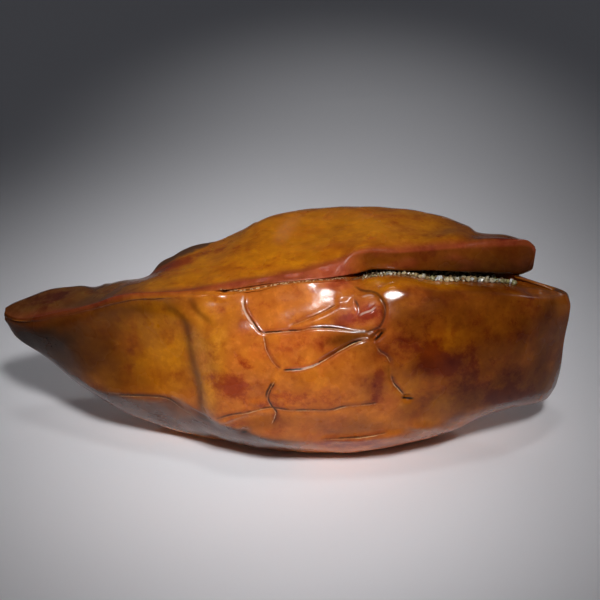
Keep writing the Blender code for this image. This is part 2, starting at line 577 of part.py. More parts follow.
def make_stone(lines):
    grid = tumble(weather(tumble(loft(lines), WEAR_BEFORE)), WEAR_AFTER)
    rows, stations = grid.shape[:2]
    ids = np.arange(rows * stations).reshape(rows, stations)
    under = np.roll(ids, -1, 0)
    quads = np.stack([ids[:, :-1], ids[:, 1:], under[:, 1:], under[:, :-1]], -1)
    faces = quads.reshape(-1, 4).tolist()
    keel_row = row_of("keel")
    points = grid.reshape(-1, 3)
    faces += zip_end(ids[:, 0].tolist(), points, keel_row)
    faces += [f[::-1] for f in zip_end(ids[:, -1].tolist(), points, keel_row)]
    stone = add_object("agate", points, faces,
                       material("agate", (0.48, 0.16, 0.03), 0.22))
    fewer = stone.modifiers.new("fewer faces", "DECIMATE")
    fewer.ratio = STONE_TRIANGLES / (2.0 * rows * stations)
    fewer.use_collapse_triangulate = True

    # the belly is cut level, so that the stone stands on a true flat
    ground = bpy.data.meshes.new("ground")
    bm = bmesh.new()
    bmesh.ops.create_cube(bm, size=0.2)
    bmesh.ops.translate(bm, verts=bm.verts, vec=(0, 0, -0.1))
    bm.to_mesh(ground)
    bm.free()
    block = bpy.data.objects.new("ground", ground)
    bpy.context.scene.collection.objects.link(block)
    block.hide_render = True
    block.display_type = "WIRE"
    foot = stone.modifiers.new("foot", "BOOLEAN")
    foot.operation = "DIFFERENCE"
    foot.solver = "EXACT"
    foot.object = block
    return stone


def make_grit():
    a = np.linspace(GRIT_FROM, GRIT_TO, GRIT_LONG)
    high, low = along(LIP_HIGH, a), along(LIP_LOW, a)
    roof = from_sheet(a, high[:, 0], high[:, 1])
    floor = from_sheet(a, low[:, 0], low[:, 1])
    deep = along(SLOT_DEPTH, a)[:, 0]
    v = np.linspace(0, 1, GRIT_DEEP)
    y = floor[:, 1:2] + 0.9 + v * (0.72 * deep[:, None] - 0.9)
    x = np.repeat(floor[:, 0:1], GRIT_DEEP, axis=1)
    bottom = floor[:, 2:3] - 0.22 * (y - floor[:, 1:2]) + GRIT_CLEAR
    limit = roof[:, 2:3] - 0.05 * (y - roof[:, 1:2]) - GRIT_CLEAR
    # crystals: every point of the bed has its own height, larger to the right
    i, j = np.indices(x.shape)
    chance = np.modf(np.abs(np.sin(12.9898 * i + 78.233 * j + 4.1) * 43758.5453))[0]
    size = np.interp(a, [15, 30, 45, 52], [0.6, 0.9, 1.4, 2.0])[:, None]
    border = np.minimum(np.minimum(i, GRIT_LONG - 1 - i) / 1.0,
                        np.minimum(j, GRIT_DEEP - 1 - j) / 1.0)
    height = np.where(border < 0.5, 0.3, 0.35 + size * (0.25 + 0.75 * chance))
    top = np.minimum(bottom + height, np.maximum(limit, bottom + 0.3))
    upper = np.stack([x, y, top], -1).reshape(-1, 3)
    lower = np.stack([x, y, bottom], -1).reshape(-1, 3)
    ids = np.arange(GRIT_LONG * GRIT_DEEP).reshape(GRIT_LONG, GRIT_DEEP)
    under = ids + ids.size
    quads = np.stack([ids[:-1, :-1], ids[1:, :-1], ids[1:, 1:], ids[:-1, 1:]], -1)
    faces = quads.reshape(-1, 4).tolist()
    faces += (quads.reshape(-1, 4)[:, ::-1] + ids.size).tolist()
    for edge, below in ((ids[:, 0], under[:, 0]), (ids[:, -1], under[:, -1]),
                        (ids[0], under[0]), (ids[-1], under[-1])):
        faces += np.stack([edge[:-1], edge[1:], below[1:], below[:-1]], -1).tolist()
    grit = add_object("crevice_grit", np.vstack([upper, lower]), faces,
                      material("crevice_grit", (0.72, 0.66, 0.52), 0.45))
    grit.modifiers.new("flat crystal faces", "TRIANGULATE")
    return grit


for old in list(bpy.data.objects):
    bpy.data.objects.remove(old)

make_stone(guide_lines(STATIONS))
make_grit()
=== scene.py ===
import math
from types import SimpleNamespace

import bpy
import numpy as np
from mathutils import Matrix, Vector


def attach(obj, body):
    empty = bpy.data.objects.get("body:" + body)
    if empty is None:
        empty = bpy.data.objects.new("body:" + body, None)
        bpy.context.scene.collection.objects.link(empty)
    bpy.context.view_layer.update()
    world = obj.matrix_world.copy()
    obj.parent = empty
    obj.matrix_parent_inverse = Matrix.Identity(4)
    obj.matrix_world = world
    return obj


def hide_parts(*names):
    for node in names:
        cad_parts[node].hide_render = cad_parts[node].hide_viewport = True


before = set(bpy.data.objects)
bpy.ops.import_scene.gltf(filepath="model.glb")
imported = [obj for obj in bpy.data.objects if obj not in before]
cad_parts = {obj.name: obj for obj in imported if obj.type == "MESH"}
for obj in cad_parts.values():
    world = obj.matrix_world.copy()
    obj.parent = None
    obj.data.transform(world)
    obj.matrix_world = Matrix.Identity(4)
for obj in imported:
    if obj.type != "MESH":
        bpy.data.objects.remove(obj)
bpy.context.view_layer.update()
mm = 0.001
print("frame loaded")

# The guide lines are drawn on a leaning sheet, as seen by a raised eye.
# (across, up) on the sheet in millimetres, then how far back the line lies.
sheet = {
    "lean": math.radians(27.0),
    "reach": 600.0,                 # from the eye to the sheet
    "width": 150.0,                 # of the sheet, as far as it is in view
    "middle": np.array([0.0, 0.0, 38.4]),
}
sheetUp = np.array([0.0, math.sin(sheet["lean"]), math.cos(sheet["lean"])])
sheetIn = np.array([0.0, math.cos(sheet["lean"]), -math.sin(sheet["lean"])])
eye = sheet["middle"] - sheet["reach"] * sheetIn

form = {
    "left": -73.75, "right": 67.5,          # both ends, on the sheet
    "leftKnee": -60.0, "rightKnee": 35.0,
    "middleLeft": 4.5, "middleRight": 2.0,  # depth of the middle plane there
    "endHalf": 1.1,                         # half the thickness at each end
    "crest": [(-73.5, -2), (-70, 0), (-63.8, 2.5), (-58.8, 3.9), (-53.8, 3.9),
              (-50.8, 3), (-48.8, 4.4), (-43, 5.8), (-37, 6.3), (-35.8, 8.2),
              (-31.2, 10.5), (-28, 12.2), (-23, 13.8), (-20, 15.2), (-15, 17.8),
              (-9.5, 20.8), (-6.2, 21.8), (0, 22.5), (7.5, 23.4), (13.8, 23.6),
              (21.2, 23.2), (30, 22.2), (37.5, 20.5), (41, 19.2), (44.5, 17),
              (50, 16.5), (54.5, 15.5), (57.5, 14.8), (58.5, 13.5)],
    "keel": [(-72.5, -6), (-70, -8.8), (-65, -13), (-60, -17), (-55, -20.8),
             (-50, -24.2), (-45, -27.4), (-40, -29.8), (-35, -31.8),
             (-30, -33.2), (-18.8, -35.2), (-5, -37.4), (2.5, -38),
             (10, -37.9), (17.5, -37), (30, -35), (38.8, -32), (42.5, -30.1),
             (47.5, -28.2), (57.5, -26.2), (61.5, -24.8)],
    "rim": [(-73.8, -3.2, 4.5), (-70, -4.5, 0), (-60, -2.5, -4), (-50, 0, -7.5),
            (-40, 2.1, -11), (-27.5, 2.8, -13), (-17, 4.5, -13.5),
            (-8.2, 5.8, -13), (0, 6.9, -12),
            (3.8, 8, -11.5), (10, 10, -10.5), (12.5, 11.2, -10),
            (15, 12.2, -9), (18.8, 12.6, -8), (23.8, 12.4, -7),
            (28.8, 12.8, -5.5), (42.5, 13.9, -2), (56.2, 14.5, 1.5),
            (59, 12.2, 2.5)],
    "lipHigh": [(-73.8, -3.6, 4.5), (-70, -5.1, -0.5), (-60, -3.4, -4.8),
                (-50, -1, -8.5), (-40, 1, -12), (-27.5, 1.8, -14.5),
                (-17.2, 2.6, -15.3), (-10, 3.8, -15.7), (-3, 4.7, -15.4),
                (5, 5.3, -14.7), (11.2, 6, -13.5),
                (14.5, 6.5, -9.5), (18, 7.5, -8.5), (25, 7.2, -8), (35, 7, -6),
                (45, 6.8, -3), (53.8, 6.6, 0), (58.2, 7.8, 2.5)],
    "lipLow": [(-73.8, -4, 4.5), (-70, -5.6, -0.7), (-60, -4.2, -5.3),
               (-50, -2, -9), (-40, 0, -12.5), (-27.5, 0.8, -15.5),
               (-17.2, 1.8, -16.3), (-10, 3.2, -16.6), (-3, 4.1, -16.8),
               (5, 4.6, -16.3), (11.2, 5.1, -15.0),
               (14.5, 5.3, -11), (16.5, 6.1, -9.5), (21.2, 6.6, -8.8),
               (25, 6.1, -8.2), (35, 5.2, -6.5), (45, 4.6, -4),
               (53.8, 3.9, -1.5), (63.8, 2.2, 1), (65.8, 1.5, 2)],
    "frontReach": [(-73.8, 4.5), (-70, -0.8), (-60, -6.5), (-50, -11),
                   (-40, -15), (-27.5, -19.5), (-21.2, -23), (-12.5, -25.5),
                   (0, -26.5), (12.5, -26), (25, -24.5), (37.5, -21),
                   (50, -16.5), (60, -11.5), (65, -6.3), (67.5, 2)],
    "backReach": [(-73.8, 4.5), (-70, 8.5), (-60, 13), (-50, 16), (-37.5, 21),
                  (-25, 26), (-12.5, 30.5), (0, 33.5), (12.5, 34), (25, 31.5),
                  (37.5, 27.5), (50, 21), (58, 16), (64, 10.5), (67.5, 2)],
    "slotDepth": [(-73.8, 0), (-22, 0), (-19, 2), (-16, 1), (-10, 1.5),
                  (0, 1.8), (9, 2.2), (13, 5), (17, 10), (25, 13), (40, 12),
                  (48, 7), (54, 1.5)],
    "notchEnd": 54.0,
    # toward the right the crevice's roof and floor meet; what each drops over a
    # millimetre inward, and the crevice's end behind the middle plane's far side
    "closeFrom": 48.0, "closeRun": 6.0,
    "roofFall": -0.05, "floorFall": -0.22, "deepest": 2.0,
    # spread of the running average that smooths a line along the stone
    "calm": {"crest": 1.6, "rim": 1.0, "lipHigh": 1.0, "lipLow": 1.6, "shoulder": 5.0,
             "brow": 5.0, "flank": 5.0, "bilge": 1.0, "keel": 1.6},
    "shutFrom": -26.0, "shutTo": -20.5,     # left of these the crevice is closed
    # (across, up): the edge where the front face turns under
    "bilge": [(-73, -5.8), (-60, -16), (-52, -22.2), (-48.8, -23.6), (-44.5, -24),
              (-40, -24.2), (-34.8, -24.5), (-31.2, -25.1), (-29, -26.8),
              (-27, -28.3), (-24.5, -29.2), (-22.5, -30.2), (-18.4, -32.2),
              (-14.5, -33.4), (-8, -34.9), (0, -35.5), (12, -35.6), (22, -34.6),
              (30, -32.6), (42, -28.2), (55, -24.6), (63.8, -21.4)],
    "bilgeReach": [(-73.8, 0.5), (-60, 0.68), (-48, 0.92), (-36, 0.98), (-20, 0.94),
                   (0, 0.9), (40, 0.9), (67.5, 0.8)],
    # share of the way down from lip to keel, right end, share of the reach along
    "frontFace": {
        "shoulder": (0.09, 67.4, [(-73.8, 0.95), (-60, 0.95), (-40, 0.91), (-30, 0.88),
                                  (-20, 0.79), (-10, 0.745), (67.5, 0.745)]),
        "brow": (0.165, 67.2, [(-73.8, 0.98), (-60, 0.98), (-40, 0.96), (-30, 0.945),
                               (-20, 0.875), (-10, 0.825), (67.5, 0.825)]),
        "flank": (0.45, 66.1, [(-73.8, 1.0), (67.5, 1.0)]),
    },
    "keelReach": 0.39, "crestReach": 0.58,
    "dome": 1.2, "domePower": 0.8, "topCalm": 2.6,      # line between rim and crest
    # front line met at the ends, share of the height, share of the reach
    "backFace": {
        "belly": ("keel", -0.02, 0.10), "backBilge": ("bilge", 0.15, 0.70),
        "backFlank": ("flank", 0.40, 1.0), "backShoulder": ("shoulder", 0.62, 0.98),
        "backLipLow": ("lipLow", 0.70, 0.95), "backNotch": ("slotFloor", 0.765, 0.93),
        "backLipHigh": ("lipHigh", 0.835, 0.89), "backTop": ("rim", 0.94, 0.79),
    },
    # toward the right end these stay hidden behind the front line they face
    "hidden": ("backShoulder", "backLipLow", "backNotch"),
    "hideFrom": 42.0, "hideTo": 50.0, "hideBelow": 3.8,
    "heightCalm": 4.1, "acrossCalm": 1.5,   # smoothing of the lines behind
    "leftEase": 10.0, "rightEase": 14.0,    # near the ends they turn to the end points
    # lines in order round the stone: roundness there, rows up to the next line
    "around": [("crest", 0.9, 10), ("topMid", 1.0, 10), ("rim", 0.35, 9),
               ("lipHigh", 0.3, 6), ("slotRoof", 0.4, 3), ("slotFloor", 0.4, 6),
               ("lipLow", 0.4, 7), ("shoulder", 1.0, 7), ("brow", 1.0, 21),
               ("flank", 1.0, 33), ("bilge", 0.55, 12), ("keel", 1.0, 6),
               ("belly", 1.0, 14), ("backBilge", 1.0, 20), ("backFlank", 1.0, 20),
               ("backShoulder", 1.0, 8), ("backLipLow", 1.0, 6), ("backNotch", 1.0, 6),
               ("backLipHigh", 1.0, 8), ("backTop", 0.9, 14)],
    "leastChord": 0.8,              # shortest step between lines that slopes count with
    "stations": 280,                # places along the stone that wide faces use
    "endShare": 0.10,               # outer share at each end with closer stations
    # cracked middle of the front: there both rows and stations are twice as close
    "fineFrom": -28.0, "fineTo": 33.0, "fineGain": 0.35, "fineSoft": 2.0,
    "fineTop": "lipLow", "fineBottom": "bilge",
    "fineBeyond": 4,                # and so many rows past the lower line
    "wearBefore": 10, "wearAfter": 3,       # rounds of smoothing
}

# lines on the sheet that the relief and the colours share
paths = {
    "scoopSide": [(-20, -34), (-22.2, -30.6), (-24, -27.5), (-24.4, -23.7), (-24.9, -19.7),
                  (-26, -16), (-27, -11), (-28, -5.8), (-30.2, -3), (-35, 1), (-42, 4.2)],
    "scoopCrease": [(-20.5, -6.8), (-23, -4.7), (-25, -3), (-26.6, -0.9), (-28, 2), (-29.5, 6)],
    "panelEdge": [(-13.4, 7), (-13.8, 3), (-14.2, 0.5), (-14, -2.2), (-12.5, -4.7), (-11, -7),
                  (-9.6, -8.3), (-6.5, -8.2), (-2.9, -7.9), (0, -7.7), (2.7, -7.2), (6.2, -7),
                  (9.7, -7.3), (12.8, -7.8), (16, -7.9), (19, -7.4)],
    "panelSide": [(-9.2, -8.8), (-8.8, -11), (-8.4, -12.8), (-6.8, -15.6), (-4.8, -17.6)],
    "knobSide": [(17.8, 2.2), (19.7, 1.3), (21.1, -0.9), (21.2, -3.6), (20.7, -5.4), (19.4, -7)],
    "skirt": [(-21.2, -30.1), (-17, -28.9), (-13.5, -28.4), (-10.7, -27.7), (-7.5, -27.1),
              (-2.9, -27.7), (2.3, -27.7), (7.6, -27.7), (11.1, -26.8), (16.3, -26.3),
              (19.5, -25.9)],
}

relief = {
    # ground left of the walked line sinks: points, drop, run back to level,
    # softness, height of the bead along the high side
    "ledges": [
        # edge of the big scoop, and the crease beside it
        (paths["scoopSide"], 1.7, 14, 2.2, 0.5),
        (paths["scoopCrease"], 0.7, 5, 1.1, 0.1),
        # upper panel sinks inside its left and lower edge
        (paths["panelEdge"], 0.75, 7, 0.42, 0.0),
        # tongue that lies on the upper panel
        ([(-2.5, -6.6), (0, -5.7), (1.8, -4.9), (4.1, -4), (6.9, -2.6), (9.3, -1.2),
          (11.2, 0), (13.5, 0.7)], 0.9, 5, 0.55, 0.1),
        # lower panel dips under the edge of the big swelling
        ([(-4.7, -17.7), (-2.2, -17.6), (0.6, -17.4), (3.4, -16.5), (6.2, -14.9),
          (9.7, -12.8), (13.2, -10.9), (16, -10), (18.1, -10.2)], 1.1, 8, 0.45, 0.0),
        ([(5.5, -15.2), (9.7, -12.8), (13.2, -10.9), (17, -9.9)], 0.7, 4, 0.4, 0.0),
        (paths["panelSide"], 0.5, 4, 0.4, 0.0),
        # left edge of the swelling
        ([(-7.5, -26.6), (-8.4, -24.7), (-7.9, -22.6), (-6.5, -20.1), (-4.6, -17.8)],
         0.8, 4, 0.6, 0.0),
        # three-cornered recess in the knob's head, and the ridge under it
        ([(13.2, 0.8), (13.7, -0.4), (14.3, -1.8), (14.6, -3.3)], 0.9, 3, 0.35, 0.0),
        ([(14.2, -4.4), (15.9, -3.3), (17.8, -2.6), (19.2, -1.3)], 0.8, 2.4, 0.4, 0.2),
        # narrow step near the table, and the low step right of it
        ([(5, -34.9), (9, -34.7), (15, -34.4), (21.5, -33.3), (26, -32.6)],
         0.7, 2.5, 0.35, 0.3),
        # strip under the scoop and the first panel
        ([(-8, -29.2), (-11, -28.8), (-15, -29.6), (-20, -31.2)], 0.5, 2.5, 0.35, 0.2),
    ],
    "topLedges": [
        # dome of the top against the lower end of the slab
        ([(31.5, 13.4), (36, 14.3), (40, 15.4), (44.5, 17.4)][::-1], 1.3, 9, 0.8, 0.3),
        # folds on the tongue-like left end
        ([(-51.5, 3.4), (-54, 1.2), (-60, -0.9), (-68, -2.9)], 0.9, 3.5, 0.7, 0.2),
        ([(-24, 5.4), (-30, 4.6), (-36, 3.8), (-44, 2.8)], 0.5, 4, 0.8, 0.15),
    ],
    # open cracks: points, depth, half width
    "cracks": [
        ([(18.2, -10.1), (19.1, -11.7), (19.9, -13.1), (21.6, -14.2), (22.7, -15.8),
          (22.6, -19), (23.2, -20.8), (24.8, -22.6), (26.2, -24.3)], 0.55, 0.38),
        ([(13.2, 4.4), (14.6, 2.6), (17, 2.1), (19.4, 1.3), (21.1, -1.4), (21.3, -4),
          (20.7, -6.2), (19.2, -7.6), (16, -8.2)], 0.55, 0.5),
        ([(17.7, -10.9), (18.5, -9.9), (19.6, -8.9), (20.9, -7.8), (21.9, -7.1)],
         1.9, 0.6),
        (paths["skirt"], 0.25, 0.3),
        ([(-8.3, -25), (-7.3, -26.6), (-6.1, -28.2), (-6.8, -30.3), (-7.2, -31.3)],
         0.4, 0.32),
        ([(-49, -23.7), (-44, -24), (-38, -24.2), (-33, -24.8), (-29.5, -27.2),
          (-26, -29), (-22.5, -30.4)], 0.25, 0.3),
        ([(-15.9, 2), (-17, 2.1), (-20, 2.2), (-21, 2.6)], 0.7, 0.5),
    ],
    # dents (positive) and lumps (negative): across, up, depth, half width and
    # half height
    "dents": [(26.8, -24.6, 1.5, 1.0, 0.6), (17.3, -2.6, -1.2, 3.6, 3.6),
              (7.5, 1.2, -0.4, 4.5, 3.2), (26.5, 3.2, -1.0, 5.0, 4.0),
              (-18.6, 2.2, 1.1, 1.9, 0.5),
              (-14, -33.2, 0.6, 1.4, 0.8), (-11, -26.1, -0.5, 2.2, 0.8),
              (28.6, -31.4, -0.6, 1.4, 1.0), (31.2, -31.6, -0.6, 1.7, 0.9),
              (34.5, -31.7, -0.4, 2.0, 0.8), (41, -3.9, 0.2, 0.8, 0.8),
              (6, -21.5, -1.1, 9.0, 7.0), (-18, -14, -0.7, 4.5, 10.0),
              (-19.6, 0.7, -0.3, 2.2, 0.7)],
    # worn facets: across, up, rise and turn of the facet in degrees, half width
    # and half height
    "facets": [(11.2, 0.3, 24.0, 12.0, 2.0, 1.6), (6.6, 2.2, 36.1, 2.8, 2.5, 1.6),
               (22.8, 1.5, 36.2, 1.1, 3.0, 2.5),
               (-19.6, 0.7, 36.1, 5.8, 1.8, 0.9), (58.8, 2.3, 36.0, -2.9, 2.2, 0.7)],
    # the same on the face above the crevice
    "slabFacets": [(6.2, 8.3, 36.2, 2.8, 2.1, 1.5), (-2.0, 6.2, 36.2, 3.6, 2.6, 0.9),
                   (-9.5, 5.1, 36.1, 4.5, 2.6, 0.8)],
    # weathered knob on the far side of the top, and the lumps and pits on it:
    # x, y, z, reach, height
    "knobs": [(-31, 16, 45, 4.5, 1.2), (-25, 18, 47, 3.2, 0.9),
              (-36, 14, 42, 3.0, 1.0), (-28, 20, 44, 3.0, 0.8)],
    "lumps": [(-34.5, 14.5, 43.5, 1.2, 0.6), (-30.5, 16, 45.5, 1.1, 0.6),
              (-27, 17.5, 46.5, 1.2, -0.6), (-23.5, 18, 48, 1.3, 0.6),
              (-38.5, 12.5, 42, 1.2, 0.5)],
    # shallow shell-shaped scoops, each the print of a big ball: a point of the
    # skin (x, y, z), radius of the ball, depth
    "scoops": [
        (-42, -14, 33, 70, 2.6), (-30, 28, 30, 34, 2.6), (-6, 34, 22, 46, 2.6),
        (14, 30, 40, 40, 2.2), (34, 26, 26, 38, 2.6), (48, 19, 28, 30, 2.0), (-52, 15, 36, 30, 2.0),
        (-14, 26, 46, 40, 1.8), (22, 30, 14, 34, 2.4), (-40, 10, 14, 30, 2.2), (46, 6, 12, 34, 2.2),
        (2, 24, 5, 30, 2.0), (-24, 16, 8, 26, 1.8), (-58, 4, 40, 34, 0.9), (-64, 6, 28, 22, 1.4),
        (58, 8, 20, 26, 1.6), (8, 8, 60, 90, 0.8),
    ],
    "scoopEdge": 0.5,               # how soft a scoop's edge is
    "facetShare": 0.9,              # how far a facet is ground down to its plane
    "farAway": 1e3,                 # distance where a mark isn't near
    "fadeRun": 2.2,                 # a mark grows from nothing over this length
    "beadAt": 1.8, "beadWidth": 2.0,        # place and width of a bead, in softnesses
    # parts of the normal over which marks of the front and of the back fade in
    "seen": (-0.05, 0.12), "behind": (0.0, 0.35),
    # ledges on the back: points as (x, z), drop, run, softness
    "backLedges": [
        ([(-50, 40), (-44, 33), (-40, 27), (-37, 20), (-38, 12)], 1.2, 8, 0.6),
        ([(-12, 52), (-8, 46), (-6, 40), (0, 34), (1, 27), (5, 18), (4, 10)],
         1.1, 9, 0.6),
        ([(18, 33), (26, 29), (34, 28), (44, 30), (56, 33)], 1.4, 7, 0.6),
        ([(36, 10), (33, 16), (27, 22), (18, 33)], 0.9, 6, 0.6),
        ([(-38, 26), (-28, 22), (-18, 23), (-8, 29), (0, 34)], 0.8, 6, 0.6),
    ],
    # fine cracks on the back: points as (x, z), depth, half width
    "backCracks": [
        ([(4, 12), (10, 16), (18, 17), (27, 22)], 0.5, 0.6),
        ([(-37, 20), (-30, 14), (-22, 12), (-16, 7)], 0.5, 0.6),
        ([(44, 30), (47, 22), (53, 17)], 0.5, 0.6),
        ([(-8, 46), (2, 49), (12, 48), (22, 51)], 0.4, 0.6),
    ],
}


# Smooth rise from 0 to 1 between two limits: 3t^2 - 2t^3.
def smoothStep(x, low, high):
    t = np.clip((x - low) / (high - low), 0, 1)
    return t * t * (3 - 2 * t)


# Cubic from a to b while t goes from 0 to 1 over a run, with slopes leanA and leanB:
# a (2t^3 - 3t^2 + 1) + run leanA (t^3 - 2t^2 + t), and the same seen from b's end.
def cubic(t, run, a, leanA, b, leanB):
    return ((2 * t**3 - 3 * t**2 + 1) * a + (t**3 - 2 * t**2 + t) * run * leanA
            + (3 * t**2 - 2 * t**3) * b + (t**3 - t**2) * run * leanB)


# Point at a given depth on the line from the eye through (across, up).
def fromSheet(across, up, back):
    across, up, back = np.broadcast_arrays(across, up, back)
    spot = (sheet["middle"] + across[..., None] * np.array([1.0, 0.0, 0.0])
            + up[..., None] * sheetUp)
    share = (back - eye[1]) / (spot[..., 1] - eye[1])
    return eye + share[..., None] * (spot - eye)


# The other way round: a point's place on the sheet, by dividing by its depth.
def toSheet(points):
    ray = points - eye
    deep = ray @ sheetIn
    return ray[..., 0] / deep * sheet["reach"], (ray @ sheetUp) / deep * sheet["reach"]


# Cubic through the knots of a line, with slopes that never overshoot. Lengths are
# first turned into angles of a half circle, so that ends come out round.
def along(knots, across):
    knots = np.array(knots, float)
    first, last = knots[0, 0], knots[-1, 0]
    toAngle = lambda a: np.arccos(np.clip(1 - 2 * (a - first) / (last - first), -1, 1))
    kx, ky, x = toAngle(knots[:, 0]), knots[:, 1:], toAngle(across)
    gap = np.diff(kx)[:, None]
    rise = np.diff(ky, axis=0) / gap
    lean = np.zeros_like(ky)
    after, before = 2 * gap[1:] + gap[:-1], gap[1:] + 2 * gap[:-1]
    same = rise[:-1] * rise[1:] > 0
    safeA, safeB = np.where(same, rise[:-1], 1.0), np.where(same, rise[1:], 1.0)
    lean[1:-1] = np.where(same, (after + before) / (after / safeA + before / safeB), 0.0)
    lean[0], lean[-1] = rise[0], rise[-1]
    i = np.clip(np.searchsorted(kx, x, side="right") - 1, 0, len(kx) - 2)
    t = np.clip((x - kx[i])[:, None] / gap[i], 0, 1)
    return cubic(t, gap[i], ky[i], lean[i], ky[i + 1], lean[i + 1])


# Places along the stone: even, closer toward both ends (a parabola over the outer
# share) and closer again over the cracked middle (a bell-sided plateau of extra
# stations), taken from a fine running total.
def stationPlaces():
    v, e = np.linspace(0, 1, 4000), form["endShare"]
    d = np.where(v < e, v * v / (2 * e), v - e / 2)
    d = np.where(v > 1 - e, (1 - e) - (1 - v)**2 / (2 * e), d) / (1 - e)
    s = form["left"] + (form["right"] - form["left"]) * d
    inside = (1 / (1 + np.exp((form["fineFrom"] - s) / form["fineSoft"]))
              * 1 / (1 + np.exp((s - form["fineTo"]) / form["fineSoft"])))
    weight = np.cumsum(1 + form["fineGain"] * inside)
    weight = (weight - weight[0]) / (weight[-1] - weight[0])
    return np.interp(np.linspace(0, 1, 2 * form["stations"] - 1), weight, s)


# Each line starts and ends at its own place on the outline: straight stretch
# before the left knee and after the right knee.
def drawnOut(station, first, last):
    left, right = form["left"], form["right"]
    kneeL, kneeR = form["leftKnee"], form["rightKnee"]
    start = first + (station - left) * (kneeL - first) / (kneeL - left)
    end = kneeR + (station - kneeR) * (last - kneeR) / (right - kneeR)
    return np.where(station > kneeR, end, np.where(station < kneeL, start, station))


# Running average along the stone, weighted by a bell. Past each end the values go
# on turned about the end point, so that the ends stay where they are.
def calm(values, spread, places):
    wide = np.concatenate([2 * places[0] - places[:0:-1], places, 2 * places[-1] - places[-2::-1]])
    more = np.concatenate([2 * values[0] - values[:0:-1], values, 2 * values[-1] - values[-2::-1]])
    kernel = np.exp(-0.5 * ((places[:, None] - wide[None, :]) / spread)**2)
    kernel *= np.gradient(wide)[None, :]
    return (kernel / kernel.sum(1, keepdims=True)) @ more


# A line of the dictionary: its places across at the stations, and its values there.
def lineOf(name, s):
    knots = form[name]
    a = drawnOut(s, knots[0][0], knots[-1][0])
    return a, along(knots, a)


# Lines seen from the front. Those without a depth of their own lie at a share of
# the reach before or behind the middle plane.
def frontLines(s, middle, front, back):
    near = middle - form["endHalf"]
    lines = {}
    for name in ("rim", "lipHigh", "lipLow"):
        a, v = lineOf(name, s)
        lines[name] = fromSheet(a, v[:, 0], np.minimum(v[:, 1], near))
    a, v = lineOf("crest", s)
    lines["crest"] = fromSheet(a, v[:, 0], middle + form["crestReach"] * back)
    for name, reach in (("keel", form["keelReach"]),
                        ("bilge", along(form["bilgeReach"], s)[:, 0])):
        a, v = lineOf(name, s)
        lines[name] = fromSheet(a, v[:, 0], np.minimum(middle + reach * front, near))
    upLip, upKeel = (lineOf(name, s)[1][:, 0] for name in ("lipLow", "keel"))
    for name, (down, end, shares) in form["frontFace"].items():
        a = drawnOut(s, form["left"], end)
        reach = along(shares, s)[:, 0]
        lines[name] = fromSheet(a, upLip + down * (upKeel - upLip),
                                np.minimum(middle + reach * front, near))
    for name, spread in form["calm"].items():
        lines[name] = calm(lines[name], spread, s)
    return lines


# Crevice: the roof runs nearly level inward and the floor dips. Left of it, where
# it is shut, its lines lie evenly on the edge's rounded slope.
def addCrevice(lines, s, middle):
    a = drawnOut(s, form["left"], form["notchEnd"])
    deep = along(form["slotDepth"], a)
    closing = np.clip((a - form["closeFrom"]) / form["closeRun"], 0, 1)[:, None]
    sides = {}
    for name, lip, fall in (("slotRoof", "lipHigh", form["roofFall"]),
                            ("slotFloor", "lipLow", form["floorFall"])):
        v = along(form[lip], a)
        sides[name] = fromSheet(a, v[:, 0], v[:, 1]) + deep * np.array([0, 1.0, fall])
    both = (sides["slotRoof"] + sides["slotFloor"]) / 2
    furthest = middle + form["endHalf"] + form["deepest"]
    for name, line in sides.items():
        lines[name] = line + closing * (both - line)
        lines[name][:, 1] = np.minimum(lines[name][:, 1], furthest)
    shut = (1 - smoothStep(s, form["shutFrom"], form["shutTo"]))[:, None]
    for k, name in enumerate(("lipHigh", "slotRoof", "slotFloor")):
        even = lines["rim"] + (k + 1) / 4 * (lines["lipLow"] - lines["rim"])
        lines[name] = lines[name] + shut * (even - lines[name])


# Top: half way between rim and crest, domed by a power of a sine arch.
def addTop(lines, s, share):
    lines["topMid"] = 0.5 * (calm(lines["rim"], form["topCalm"], s)
                             + calm(lines["crest"], form["topCalm"], s))
    arch = np.sin(np.pi * np.clip(share, 0, 1))**form["domePower"]
    lines["topMid"][:, 2] += form["dome"] * arch


# Far side: each line faces a front line, at its share of the height and of the
# reach, and turns to that line's end points near both ends.
def addBack(lines, s, middle, back):
    nearLeft = np.clip(1 - (s - form["left"]) / form["leftEase"], 0, 1)[:, None]**2
    nearRight = np.clip(1 - (form["right"] - s) / form["rightEase"], 0, 1)[:, None]**2
    top, bottom = calm(lines["crest"], form["heightCalm"], s)[:, 2], lines["keel"][:, 2]
    shift = np.array([0, 2 * form["endHalf"], 0])
    for name, (partner, height, reach) in form["backFace"].items():
        facing = lines[partner]
        line = np.stack([calm(facing[:, :1], form["acrossCalm"], s)[:, 0],
                         middle + reach * back, bottom + height * (top - bottom)], axis=1)
        if name in form["hidden"]:
            a, v = toSheet(facing)
            cover = fromSheet(a, v - form["hideBelow"], line[:, 1])[:, 2]
            line[:, 2] -= (smoothStep(s, form["hideFrom"], form["hideTo"])
                           * np.maximum(line[:, 2] - cover, 0))
        lines[name] = (line + nearLeft * (facing[0] + shift - line[0])
                       + nearRight * (facing[-1] + shift - line[-1]))


# All lines, each as one point at every station. The middle plane and the reach of
# the skin before and behind it are found first.
def guideLines():
    s = stationPlaces()
    share = (s - form["left"]) / (form["right"] - form["left"])
    middle = form["middleLeft"] + (form["middleRight"] - form["middleLeft"]) * share
    front = along(form["frontReach"], s)[:, 0] - middle
    back = along(form["backReach"], s)[:, 0] - middle
    lines = frontLines(s, middle, front, back)
    addCrevice(lines, s, middle)
    addTop(lines, s, share)
    addBack(lines, s, middle, back)
    return lines


